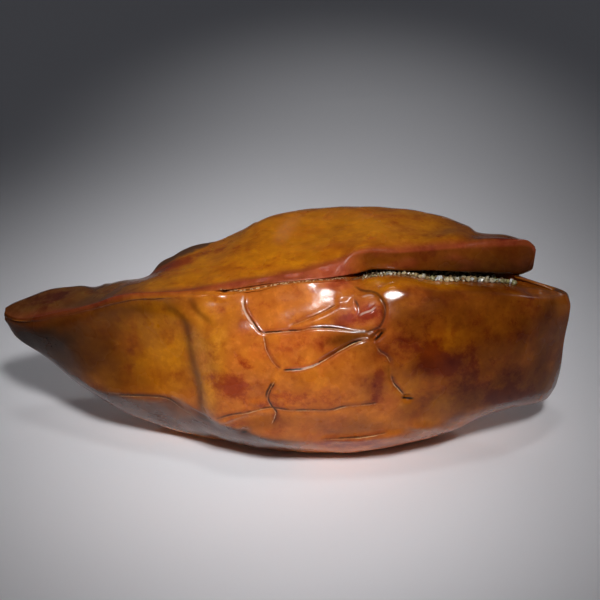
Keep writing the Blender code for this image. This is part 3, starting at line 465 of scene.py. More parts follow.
# Cross-section through the lines at every station: cubic pieces whose slope at a
# line is the weighted mean of both neighbouring chords, times its roundness.
def loft(lines):
    net = np.stack([lines[name] for name, _, _ in form["around"]])
    soft = np.array([w for _, w, _ in form["around"]])[:, None, None]
    step = np.roll(net, -1, 0) - net
    chord = np.linalg.norm(step, axis=2).mean(1)
    chord = np.maximum(chord, form["leastChord"])[:, None, None]
    slope, before = step / chord, np.roll(chord, 1, 0)
    lean = soft * (chord * np.roll(slope, 1, 0) + before * slope) / (chord + before)
    rows = []
    for k, (_, _, count) in enumerate(form["around"]):
        t = (np.arange(2 * count) / (2 * count))[:, None, None]
        n = (k + 1) % len(net)
        rows.append(cubic(t, chord[k], net[k], lean[k], net[n], lean[n]))
    return np.concatenate(rows)


# Grid row of a line: the rows of all lines before it.
def rowOf(name):
    names = [n for n, _, _ in form["around"]]
    return 2 * sum(count for _, _, count in form["around"][:names.index(name)])


# Smooth path through points: Catmull-Rom cubics, four short steps to each.
def smoothPath(points):
    p = np.array(points, float)
    ends = np.vstack([2 * p[0] - p[1], p, 2 * p[-1] - p[-2]])
    t = np.linspace(0, 1, 4, endpoint=False)[:, None]
    runs = [0.5 * (2 * b + (c - a) * t + (2 * a - 5 * b + 4 * c - d) * t**2
                   + (3 * b - a - 3 * c + d) * t**3)
            for a, b, c, d in zip(ends, ends[1:], ends[2:], ends[3:])]
    return np.vstack(runs + [p[-1:]])


# Places (u, v) that lie in the path's box, widened by a margin.
def nearPath(u, v, path, margin):
    low, high = path.min(0) - margin, path.max(0) + margin
    return (u > low[0]) & (u < high[0]) & (v > low[1]) & (v < high[1])


# Distance to a path, the side a place lies on (left positive), and how far along
# the path it is from the nearer end.
def pathDistance(u, v, points, margin):
    path = smoothPath(points)
    lengths = np.concatenate([[0], np.cumsum(np.linalg.norm(np.diff(path, axis=0), axis=1))])
    near = nearPath(u, v, path, margin)
    uu, vv = u[near], v[near]
    best, side, place = (np.full(uu.shape, relief["farAway"]), np.ones(uu.shape),
                         np.zeros(uu.shape))
    for (x0, y0), (x1, y1), start in zip(path, path[1:], lengths):
        dx, dy = x1 - x0, y1 - y0
        size = math.hypot(dx, dy)
        f = np.clip(((uu - x0) * dx + (vv - y0) * dy) / size**2, 0, 1)
        d = np.hypot(uu - x0 - f * dx, vv - y0 - f * dy)
        closer = d < best
        best = np.where(closer, d, best)
        side = np.where(closer, np.sign(dx * (vv - y0) - dy * (uu - x0)), side)
        place = np.where(closer, start + f * size, place)
    out = [np.full(u.shape, relief["farAway"]), np.ones(u.shape), np.zeros(u.shape)]
    for full, part in zip(out, (best, side, np.minimum(place, lengths[-1] - place))):
        full[near] = part
    return out


# Two fields that stay smooth everywhere but across the path: its pull, the sum of
# exp(-distance / run) over its length, divided by twice the run, and its turn, the
# angle under which the path is seen, divided by half a circle (left positive).
def pathField(u, v, points, run):
    path = smoothPath(points)
    near = nearPath(u, v, path, 4 * run)
    uu, vv = u[near], v[near]
    pull, angle = np.zeros(uu.shape), np.zeros(uu.shape)
    for (x0, y0), (x1, y1) in zip(path, path[1:]):
        ax, ay, bx, by = x0 - uu, y0 - vv, x1 - uu, y1 - vv
        size = math.hypot(x1 - x0, y1 - y0)
        pull += np.exp(-np.hypot(ax + bx, ay + by) / 2 / run) * size / (2 * run)
        angle += np.arctan2(ax * by - ay * bx, ax * bx + ay * by)
    out = [np.zeros(u.shape), np.zeros(u.shape)]
    for full, part in zip(out, (pull, np.clip(angle / np.pi, -1, 1))):
        full[near] = part
    return out


# Marks grow from nothing at their ends.
def fadeEnds(inner, run=relief["fadeRun"]):
    return smoothStep(inner, 0, run)


# Step down on the left of a path: a hyperbolic-tangent step across it, times the
# path's pull, and a bell-shaped bead on the high side.
def ledge(u, v, points, drop, run, soft, bead=0.0):
    gap, side, inner = pathDistance(u, v, points, 4 * run)
    pull, turn = pathField(u, v, points, run)
    step = 0.5 + 0.5 * turn * np.tanh(gap / soft)
    off = (side * gap + relief["beadAt"] * soft) / (relief["beadWidth"] * soft)
    return bead * np.exp(-off**2) * fadeEnds(inner) - drop * step * pull


# Groove with a bell-shaped section.
def crack(u, v, points, depth, halfWidth):
    gap, _, inner = pathDistance(u, v, points, 4 * halfWidth)
    return -depth * np.exp(-(gap / halfWidth)**2) * fadeEnds(inner)


# Unit normals: cross product of the steps around and along the grid.
def gridNormals(grid):
    n = np.cross(np.roll(grid, -1, 0) - np.roll(grid, 1, 0), np.gradient(grid, axis=1))
    return n / np.maximum(np.linalg.norm(n, axis=2, keepdims=True), 1e-9)


# Wear: each point moves half way to the mean of its four neighbours, and a point
# at an end counts itself as the missing one.
def tumble(grid, rounds):
    out = grid.copy()
    for _ in range(rounds):
        wide = np.concatenate([out[:, :1], out, out[:, -1:]], 1)
        near = np.roll(out, 1, 0) + np.roll(out, -1, 0) + wide[:, 2:] + wide[:, :-2]
        out += 0.5 * (near / 4 - out)
    return out


# Slow unevenness: two products of sines in slanting directions.
def swell(p):
    x, y, z = p[..., 0], p[..., 1], p[..., 2]
    return (0.22 * np.sin(0.21 * x + 0.13 * z + 1.3) * np.cos(0.17 * y - 0.19 * z)
            + 0.12 * np.sin(0.43 * x - 0.31 * y + 0.7) * np.sin(0.37 * z + 0.22 * x + 2.1))


# Hollow left by a ball that stands over a point of the skin: points inside the
# ball move out to its surface, with a soft maximum at the hollow's edge.
def scoop(grid, n, x, y, z, radius, depth):
    spot = np.argmin(np.sum((grid - np.array([x, y, z]))**2, axis=2))
    centre = grid.reshape(-1, 3)[spot] + (radius - depth) * n.reshape(-1, 3)[spot]
    arm = grid - centre
    size = np.linalg.norm(arm, axis=2, keepdims=True)
    soft = relief["scoopEdge"]
    push = soft * np.logaddexp(0, (radius - size) / soft)
    return np.where(push > 0.01, grid + arm / size * push, grid)


# Facet: points near a place sink or rise toward a plane through it, most of the
# way at the middle, by the weight exp(-distance^4). The place is sought where the
# facet may lie: elsewhere the distance counts as longer.
def facet(grid, u, v, share, a, b, rise, turn, wide, high):
    facing = np.array([math.cos(rise) * math.sin(turn), -math.cos(rise) * math.cos(turn),
                       math.sin(rise)])
    far = ((u - a) / wide)**2 + ((v - b) / high)**2
    middle = grid.reshape(-1, 3)[np.argmin(far + 9 * (1 - share))]
    weight = relief["facetShare"] * share * np.exp(-far**2)
    return grid - (weight * ((grid - middle) @ facing))[..., None] * facing


# Scoops first, then everything that lifts or sinks the skin along its normals,
# last the ground facets. Marks of the front lie below or above the crevice.
def weather(grid):
    n = gridNormals(grid)
    row = np.arange(len(grid))[:, None]
    below = smoothStep(row, rowOf("slotFloor") + 2, rowOf("lipLow") + 2)
    above = 1 - smoothStep(row, rowOf("rim"), rowOf("lipHigh"))
    onEdge = smoothStep(row, rowOf("rim") - 2, rowOf("rim") + 3) * (1 - below)
    for x, y, z, radius, depth in relief["scoops"]:
        grid = scoop(grid, n, x, y, z, radius, depth)
    n = gridNormals(grid)
    u, v = toSheet(grid)
    x, z = grid[..., 0], grid[..., 2]
    seen = smoothStep(-(n @ sheetIn), *relief["seen"])
    behind = smoothStep(n[..., 1], *relief["behind"])
    lift = np.zeros(u.shape)
    for side, marks in ((below, relief["ledges"]), (above, relief["topLedges"])):
        for points, drop, run, soft, bead in marks:
            lift += side * ledge(u, v, points, drop, run, soft, bead)
    for points, depth, halfWidth in relief["cracks"]:
        lift += below * crack(u, v, points, depth, halfWidth)
    for a, b, depth, wide, high in relief["dents"]:
        lift -= below * depth * np.exp(-((u - a) / wide)**2 - ((v - b) / high)**2)
    lift = lift * seen
    for points, drop, run, soft in relief["backLedges"]:
        lift += behind * ledge(x, z, points, drop, run, soft)
    for points, depth, halfWidth in relief["backCracks"]:
        lift += behind * crack(x, z, points, depth, halfWidth)
    for *spot, reach, height in relief["knobs"] + relief["lumps"]:
        away = np.sum((grid - np.array(spot))**2, axis=2)
        lift += height * np.exp(-away / reach**2)
    out = grid + n * (lift + swell(grid))[..., None]
    for share, facets in ((below, relief["facets"]), (onEdge, relief["slabFacets"])):
        for a, b, rise, turn, wide, high in facets:
            out = facet(out, u, v, share * seen, a, b, math.radians(rise),
                        math.radians(turn), wide, high)
    out[..., 2] = np.maximum(out[..., 2], 0)    # the level resting face
    return out, n, seen


# Triangles between two chains of points: the middles of all their edges are
# sorted by share along the chain, and each edge takes the next point opposite.
def bandBetween(front, back, points):
    def middles(chain):
        run = np.linalg.norm(np.diff(points[chain], axis=0), axis=1)
        total = np.concatenate([[0], np.cumsum(run)])
        return (total[1:] + total[:-1]) / 2 / total[-1]
    mf, mb = middles(front), middles(back)
    tipF = back[np.searchsorted(mb, mf)]
    tipB = front[np.searchsorted(mf, mb, side="right")]
    return np.vstack([np.stack([front[:-1], front[1:], tipF], 1),
                      np.stack([tipB, back[1:], back[:-1]], 1)])


# Piece from points in millimetres.
def newObject(name, points, faces, material, smooth=True):
    mesh = bpy.data.meshes.new(name)
    mesh.from_pydata((points * mm).tolist(), [], faces)
    mesh.polygons.foreach_set("use_smooth", [smooth] * len(mesh.polygons))
    mesh.materials.append(material)
    obj = bpy.data.objects.new(name, mesh)
    bpy.context.scene.collection.objects.link(obj)
    return obj


# Number or colour for every point, which the finishes read.
def addAttribute(obj, name, values, kind="FLOAT"):
    layer = obj.data.attributes.new(name, kind, "POINT")
    if kind == "FLOAT_COLOR":
        full = np.concatenate([values, np.ones((len(values), 1))], 1)
        layer.data.foreach_set("color", full.astype(np.float32).ravel())
    else:
        layer.data.foreach_set("value", values.astype(np.float32).ravel())


# colours of the stone, painted shade and light among them, and where each one lies
stoneColours = {
    "tones": {
        "orange": (0.52, 0.135, 0.014), "golden": (0.53, 0.163, 0.002),
        "amber": (0.36, 0.104, 0.001), "brown": (0.150, 0.034, 0.001),
        "umber": (0.118, 0.030, 0.001), "dark": (0.026, 0.008, 0.001),
        "rust": (0.26, 0.043, 0.014), "rose": (0.50, 0.110, 0.045),
        "olive": (0.115, 0.042, 0.012), "light": (0.66, 0.235, 0.022),
        "shade": (0.050, 0.013, 0.007),
    },
    # over the front, one over the other: tone, then across, up, half sizes, turn in
    # degrees and strength
    "washes": [
        # the big scoop, darker toward the tip, partly its own tone and partly painted shade; the
        # golden fold at its right, partly painted light on its lit side
        ("amber", (-40, -9, 18, 18, -20, 1.0)), ("umber", (-54, -12, 17, 14, -35, 0.95)),
        ("dark", (-68, -8, 17, 10, -32, 1.0)), ("golden", (-32, -11, 5, 9, 8, 0.6)),
        ("golden", (-22.5, -11, 3.6, 12, 6, 0.9)), ("amber", (-17, -3, 4, 4, 0, 0.4)),
        # the darker right half, golden by the crevice and low down
        ("brown", (44, -10, 31, 27, 0, 1.0)), ("golden", (22, 4.2, 5.5, 1.8, 0, 0.9)),
        ("golden", (34, 3.9, 9, 1.3, -3, 0.7)), ("amber", (31, -25, 7.5, 4.5, -12, 0.9)),
        ("amber", (36, -10, 6, 4, 20, 0.45)), ("umber", (54, -22, 11, 5, 8, 0.7)),
        # the light tone at (-23, -10) is painted light on the lit side of the scoop's fold
        ("umber", (43, -24, 14, 4, 8, 0.55)), ("light", (-23, -10, 4.5, 9, 8, 0.6)),
        ("golden", (-31, -16, 7, 6, 0, 0.6)), ("umber", (62, -12, 6, 18, 0, 0.5)),
        # the umber at (12, -9.7) is painted shade in the dip under the swelling's edge
        ("golden", (-37, -10, 8, 8, -15, 0.4)), ("umber", (12, -9.7, 6.5, 1.6, 12, 0.8)),
        # the dark at (-58, -2.4) is painted shade under the rim of the left end
        ("dark", (-58, -2.4, 15, 1.8, 12, 0.7)), ("brown", (12, -32, 12, 3, 0, 0.4)),
        ("golden", (-23, -24, 1.6, 6, 5, 0.6)), ("golden", (3, -20, 6, 3, 15, 0.3)),
        # the rose at (9, 4) is a painted pink sheen round the upper panel's highlight
        ("rose", (15.5, -3.5, 6, 3.6, 5, 0.5)), ("rose", (9, 4, 4, 1.6, 0, 0.45)),
        ("brown", (-9, -30.5, 8, 2, 6, 0.5)),
    ],
    # soft lines along the folds: painted shade in the creases and under the edges, painted light on
    # the lit side of the scoop's fold, and a painted pink sheen along the crevice's lower lip;
    # points, distance to their left, half width, tone, strength
    "folds": [
        (paths["scoopSide"][1:9] + [(-35, 0)], 0.5, 1.0, "umber", 0.75),
        (paths["scoopSide"][1:8], -2.1, 1.7, "light", 0.8),
        (paths["scoopCrease"][:5], 0.3, 0.8, "brown", 0.6),
        ([(4, -15.8), (9.7, -12.8), (13.2, -10.9), (17, -9.9)], 0.5, 0.6, "umber", 0.7),
        ([(2, -7)] + paths["panelEdge"][11:], 0.4, 0.5, "umber", 0.55),
        ([(13.4, 3.6)] + paths["knobSide"], -0.5, 0.5, "brown", 0.6),
        ([(-20.6, 3.4), (-12, 3.7), (-3, 5.2), (7.5, 6.1)], 0.3, 0.8, "rose", 0.6),
        ([(-60, -17.5), (-52, -22.4), (-44.5, -24.3), (-35, -24.9), (-29, -27)], 0.6, 0.7,
         "brown", 0.5),
    ],
    "foldFade": 4.0,                # they grow from nothing over this length
    # red-brown patches: across, up, half sizes, turn in degrees, strength
    "patches": [
        (-17.5, -21.5, 6.5, 4.2, -8, 0.9), (-14, -15.5, 3.5, 1.8, -35, 0.7),
        (19.5, -21.5, 1.6, 5.5, -12, 0.8), (35.5, -16, 8.0, 4.4, -12, 1.0),
        (27, -11, 6.0, 3.5, 20, 0.6), (53, -24, 10, 2.8, 3, 0.9), (43.8, -17, 1.6, 6.0, 4, 0.8),
        (12, -5.0, 5.0, 2.2, 12, 0.7), (2, 2.5, 4.0, 1.6, 10, 0.5), (-9, -1, 3.0, 1.5, 0, 0.5),
        (10, 4.6, 3.6, 1.4, 20, 0.7), (-6.5, -26.0, 6.0, 1.6, 5, 0.5),
        (15, -36, 9.0, 1.2, 2, 0.8), (46, -8, 8.0, 2.5, -25, 0.4), (31, -3, 4, 5, 0, 0.35),
        (-17, -31.5, 5.5, 1.5, 8, 0.7), (5, -35.8, 7, 1.0, 2, 0.6), (59, 0.5, 6, 1.6, -8, 0.5),
        (16.8, -3.4, 4.2, 3.2, 10, 0.85), (31, -13, 13, 8, -8, 0.55), (46, -20, 16, 6, 4, 0.55),
        (-15, -22, 10, 9, 0, 0.35), (4, -11.5, 7, 3, 15, 0.35), (0, -24.5, 14, 2.4, 2, 0.45),
        (57, -6, 9, 12, 0, 0.35), (-20, -4, 2.5, 3, 0, 0.4),
    ],
    # the same on the upper face
    "topPatches": [
        (-31, 9.0, 8, 1.3, 22, 0.85), (-20, 12.2, 8, 0.8, 10, 0.6), (-37, 6.2, 5, 1.1, 8, 0.6),
        (-24, 6.2, 4, 0.8, -35, 0.4), (-62, 0.8, 9, 1.6, 14, 0.7), (-50, 2.0, 7, 0.8, 5, 0.5),
        (-12, 8.2, 9, 0.6, 6, 0.4), (48, 15, 8, 1.0, -5, 0.5), (36, 15.6, 6, 0.9, -18, 0.45),
    ],
    # a blot fades out from its inner to its outer share of the half sizes, and
    # waves move that edge
    "blotInner": 0.25, "blotOuter": 1.5, "blotWave": 0.22,
    # slow waves in the colour: size in millimetres, seed
    "slow": (9.0, 0.3), "mid": (4.0, 1.7), "broad": (17.0, 2.2), "honey": (7.5, 4.0),
    "blotches": (11.0, 6.0), "drawn": (1.6, 0.9),
    "drawnShare": 0.12,             # the last are this much slower along the stone
    "rimGlow": 1.6, "rimWave": 0.5, "edgeShade": 2.2,   # reach round the lines
    "rindReach": 1.3,               # the rind's reach round a knob's
    # drawn lines: points and strength; lines of one family never meet
    "lines": {
        # painted highlights along the lit rounded edges of the panels and the knob
        "rubbed": [
            ([(-14.2, 1.4), (-14.3, -1.5), (-13.2, -4), (-11.7, -6.2), (-10.2, -7.7)], 0.9),
            ([(-2.4, -17.6), (0.2, -17.3), (2.9, -16.6), (5.2, -15.6)], 0.8),
            ([(14.6, -4.1), (15.9, -3.3), (17.8, -2.6), (19, -1.5)], 0.7),
            ([(15.2, 0.7), (17.6, 1.2), (18.8, 0.6)], 0.5),
        ],
        # pale lines of both families: crack filling, with painted highlights where they run along
        # lit edges (the upper panel's lower edge, the swelling's top edge, the chine)
        "paleOne": [
            ([(-14, 0.6)] + paths["panelEdge"][3:9]
             + [(0, -7.8), (2.7, -7.2), (6.2, -7.1), (9.7, -7.4), (12.8, -7.9)], 0.9),
            ([(-4.6, -17.8), (-2.2, -17.7), (0.6, -17.5), (3.4, -16.6), (6.2, -15),
              (9.7, -12.9), (13.2, -11), (16, -10.2)], 1.0),
            (paths["skirt"], 0.75),
            ([(19.1, -11.6), (19.9, -13), (21.6, -14.1), (22.6, -15.8)], 0.8),
            ([(22.6, -18.6), (23.2, -20.8), (24.8, -22.6), (26, -24)], 0.9),
            ([(-46, -24), (-38, -24.2), (-33, -24.8), (-29.5, -27.2), (-27, -28.6)], 0.7),
        ],
        "paleTwo": [
            (paths["panelSide"], 0.8),
            ([(-6.3, -20.2), (-7.7, -22.6), (-8.2, -24.7), (-7.3, -26.6), (-6.1, -28.2),
              (-6.8, -30.3), (-7.2, -31.3)], 0.9),
            ([(5.5, -35), (10, -34.8), (16, -34.4), (22, -33.3)], 0.8),
            ([(-2.5, -6.6), (1.8, -4.9), (4.1, -4), (6.9, -2.6), (9.3, -1.2)], 0.5),
        ],
        # crumbs in the narrow end of the crevice, on a dark line of painted shade along its slit
        "crumbs": [
            ([(-20.6, 2.6), (-15.9, 2.3), (-12.5, 2.7), (-8, 3.5), (-3, 4.3), (2.5, 4.8),
              (7.5, 5.2), (12.2, 5.6)], 1.0),
            ([(12.2, 5.0), (15, 5.6), (18.5, 6.3), (24, 6.2), (30, 5.6)], 0.8),
        ],
        # painted shade in the notch, the holes, the knob's recess and ring, and the deeper grooves
        "dark": [
            ([(18.2, -10.3), (19.4, -9.4), (20.3, -8.4), (21.2, -7.6)], 1.0),
            ([(24.9, -24.2), (26.8, -24.5), (28.9, -24.6)], 1.0),
            ([(-6.7, -20.3), (-8.1, -22.6), (-8.6, -24.7)], 0.8),
            ([(13.4, 0.4), (14.2, -0.8), (14.8, -2.5)], 0.7),
            ([(-20, 2.1), (-17.4, 2.3)], 0.9),
            ([(13.4, 3.6), (15.6, 2.4)] + paths["knobSide"] + [(16, -8.0), (12, -7.9)], 0.55),
            ([(-26, -29), (-23, -30.2), (-21, -31)], 0.6),
            ([(-15.2, -33.2), (-12.8, -32.8)], 0.9),
        ],
    },
    "lineReach": 2.0, "lineFade": 1.2,      # how far a line is known, run of its ends
    "noLine": 9.0,                          # distance where none is near
    "maskFrom": 0.7, "maskTo": 1.6,         # the mask fades out between these
}


# Soft ellipse: bell of the turned and scaled distance, edge moved by slow waves.
def blots(u, v, spots, wave):
    out = np.zeros(u.shape)
    for a, b, ra, rb, turn, strength in spots:
        c, s = math.cos(math.radians(turn)), math.sin(math.radians(turn))
        x, y = (u - a) * c + (v - b) * s, -(u - a) * s + (v - b) * c
        far = np.sqrt((x / ra)**2 + (y / rb)**2) + stoneColours["blotWave"] * wave
        inside = 1 - smoothStep(far, stoneColours["blotInner"], stoneColours["blotOuter"])
        out = np.maximum(out, strength * inside)
    return out


# Slow waves: sum of sines along slanting directions, each bent by the one before.
def waves(p, size, seed=0.0):
    x, y, z = (p[..., i] / size for i in range(3))
    a = np.sin(1.9 * x + 1.1 * y - 0.7 * z + seed)
    b = np.sin(-0.8 * x + 1.7 * z + 1.3 * y + 1.2 * a + 2.0 * seed + 0.6)
    c = np.sin(2.3 * z - 1.2 * x + 0.9 * b + 3.0 * seed + 1.9)
    d = np.sin(1.4 * x + 2.1 * y + 0.8 * c + 5.0 * seed + 4.1)
    return (a + b + c + d) / 4


# Closeness of every point to one guide line, as a bell of the distance to that
# line's point at the same station.
def nearLine(grid, name, reach):
    return np.exp(-np.sum((grid - grid[rowOf(name)][None])**2, 2) / reach**2)


# Straight mix of two colours.
def blend(base, over, amount):
    return base + (np.array(over) - base) * np.clip(amount, 0, 1)[..., None]


# Layers of colour are pairs of a tone and how strongly it covers what lies below.
# In the next functions the limits of smoothStep are places across in millimetres,
# parts of the normal, rows of the grid or heights of waves.
def frontLayers(n, u, v, front, mid):
    layers = [(tone, front * blots(u, v, [spot], mid)) for tone, spot in stoneColours["washes"]]
    # painted shade, painted light and a painted sheen along the folds
    for points, shift, wide, tone, strength in stoneColours["folds"]:
        gap, side, inner = pathDistance(u, v, points, 4 * wide + abs(shift))
        bell = np.exp(-((gap * side - shift) / wide)**2)
        faded = fadeEnds(inner, stoneColours["foldFade"])
        layers.append((tone, front * strength * bell * faded))
    # painted shade on the turned-under strip between the front's lower edge and the keel
    under = front * smoothStep(-n[..., 2], 0.25, 0.6)
    return layers + [("shade", under * (1 - smoothStep(u, -8, 8)) * 0.9)]


# Top: golden, browner at both ends.
def topLayers(u, onTop, drawn):
    return [("golden", onTop),
            ("orange", onTop * smoothStep(drawn, 0.1, 0.8) * 0.4),
            ("brown", onTop * 0.8 * smoothStep(u, 18, 50)),
            ("olive", onTop * (1 - smoothStep(u, -54, -26)) * 0.9)]


# Red margin that runs along the slab's edge, painted shade under the edge left of the crevice, and
# the slab's face, with painted shade toward its right end and its lower edge and a painted pink
# sheen where it bulges near the middle.
def slabLayers(grid, rows, u, front, slow, drawn):
    margin = nearLine(grid, "rim", stoneColours["rimGlow"] + stoneColours["rimWave"] * slow)
    shaded = nearLine(grid, "shoulder", stoneColours["edgeShade"]) * front
    face = (rows > rowOf("rim") + 2) & (rows < rowOf("slotRoof"))
    lower = smoothStep(rows, rowOf("rim") + 3, rowOf("lipHigh") - 2)
    leftPart = 1 - smoothStep(u, 10, 16)
    return [("rust", margin * 0.85 * smoothStep(u, -78, -62)),
            ("umber", shaded * (1 - smoothStep(u, -42, -22)) * 0.7),
            ("brown", face * 0.9 * smoothStep(u, 11, 18)),
            ("rust", face * 0.5 * smoothStep(drawn, 0, 0.8)),
            ("dark", face * smoothStep(u, 14, 50) * lower * 0.75),
            ("rust", face * 0.7 * leftPart * smoothStep(u, -30, -20)),
            ("rose", face * 0.4 * leftPart * smoothStep(u, -8, 4))]


# Colour of every point, painted shade and light included, strength of the red patches there, and
# where the skin is a weathered rind.
def stoneTones(grid, n, seen):
    u, v = toSheet(grid)
    rows = np.arange(len(grid))[:, None] * np.ones_like(u)
    onTop = (smoothStep(n[..., 2], 0.35, 0.75) * (rows < rowOf("rim") + 2)
             + smoothStep(n[..., 2], 0.45, 0.8) * (rows > rowOf("backTop")))
    onTop = np.clip(onTop, 0, 1)
    front = seen * (1 - onTop)
    slow, mid, broad, honey, blotches = (
        waves(grid, *stoneColours[name])
        for name in ("slow", "mid", "broad", "honey", "blotches"))
    longGrid = np.stack([grid[..., 0] * stoneColours["drawnShare"], grid[..., 1],
                         grid[..., 2]], -1)
    drawn = waves(longGrid, *stoneColours["drawn"])

    # far side and underside: broad drifts between brown, amber and orange
    layers = [("amber", 0.6 + 0.4 * slow), ("brown", smoothStep(broad, -0.5, 0.9) * 0.75),
              ("orange", front)]
    layers += frontLayers(n, u, v, front, mid)
    layers += topLayers(u, onTop, drawn)
    layers += slabLayers(grid, rows, u, front, slow, drawn)
    layers += [("golden", (1 - front) * smoothStep(honey, 0.2, 0.8) * 0.315)]
    tones = stoneColours["tones"]
    colour = np.zeros(u.shape + (3,)) + np.array(tones["orange"])
    for tone, amount in layers:
        colour = blend(colour, tones[tone], amount)

    patch = np.maximum(blots(u, v, stoneColours["patches"], mid) * front,
                       0.6 * (1 - front) * (1 - onTop) * smoothStep(blotches, -0.2, 0.9))
    patch = np.maximum(patch, onTop * 0.35 * smoothStep(drawn + 0.3 * slow, 0.45, 0.9))
    patch = np.maximum(patch, onTop * blots(u, v, stoneColours["topPatches"],
                                            mid + 0.8 * drawn))
    rind = np.zeros(u.shape)
    for *spot, reach, _ in relief["knobs"]:
        away = np.sum((grid - np.array(spot))**2, 2)
        rind += np.exp(-away / (stoneColours["rindReach"] * reach)**2)
    return colour, patch, np.clip(rind, 0, 1)


# For each family of drawn lines: signed distance to the nearest line, so that the
# skin's finish can draw it sharp, and a soft mask that keeps it near the line.
def crackMasks(grid, seen):
    u, v = toSheet(grid)
    reach = stoneColours["lineReach"]
    out = []
    for family, lines in stoneColours["lines"].items():
        gap, mask = np.full(u.shape, stoneColours["noLine"]), np.zeros(u.shape)
        for points, strength in lines:
            far, side, inner = pathDistance(u, v, points, reach)
            gap = np.where(far < np.abs(gap), far * side, gap)
            close = 1 - smoothStep(far, stoneColours["maskFrom"], stoneColours["maskTo"])
            mask = np.maximum(mask, strength * fadeEnds(inner, stoneColours["lineFade"]) * close)
        out += [(family + "Gap", np.clip(gap, -reach, reach)), (family + "Mask", mask * seen)]
    return out


# A new material, with short ways to add nodes, join them and set its shader. A
# value may be a number, a colour or another node's output.
def nodeKit(materialName):
    material = bpy.data.materials.new(materialName)
    material.use_nodes = True
    tree = material.node_tree
    shader = next(n for n in tree.nodes if n.type == "BSDF_PRINCIPLED")

    def feed(socket, value):
        if hasattr(value, "is_output"):
            tree.links.new(value, socket)
        else:
            socket.default_value = value

    # a socket is named by its name, or by i and its number
    def add(kind, settings=None, **sockets):
        node = tree.nodes.new("ShaderNode" + kind)
        for key, value in (settings or {}).items():
            setattr(node, key, value)
        for key, value in sockets.items():
            numbered = key[0] == "i" and key[1:].isdigit()
            feed(node.inputs[int(key[1:]) if numbered else key], value)
        return node

    def finish(sockets):
        for name, value in sockets.items():
            feed(shader.inputs[name], value)

    def attribute(name, output="Fac"):
        return add("Attribute", {"attribute_name": name}).outputs[output]

    def noise(scale, detail=4.0, rough=0.55):
        return add("TexNoise", None, Vector=place, Scale=scale, Detail=detail,
                   Roughness=rough).outputs["Fac"]

    def ramp(value, low, high, toLow=0.0, toHigh=1.0, kind="SMOOTHSTEP"):
        return add("MapRange", {"clamp": True, "interpolation_type": kind},
                   i0=value, i1=low, i2=high, i3=toLow, i4=toHigh).outputs[0]

    def mix(factor, a, b, kind="MIX"):
        return add("Mix", {"data_type": "RGBA", "blend_type": kind},
                   i0=factor, i6=a, i7=(*b, 1)).outputs[2]

    def calc(operation, a, b=0.0):
        return add("Math", {"operation": operation}, i0=a, i1=b).outputs[0]

    place = add("TexCoord").outputs["Object"]
    return SimpleNamespace(material=material, add=add, finish=finish, attribute=attribute,
                           noise=noise, ramp=ramp, mix=mix, calc=calc, place=place)


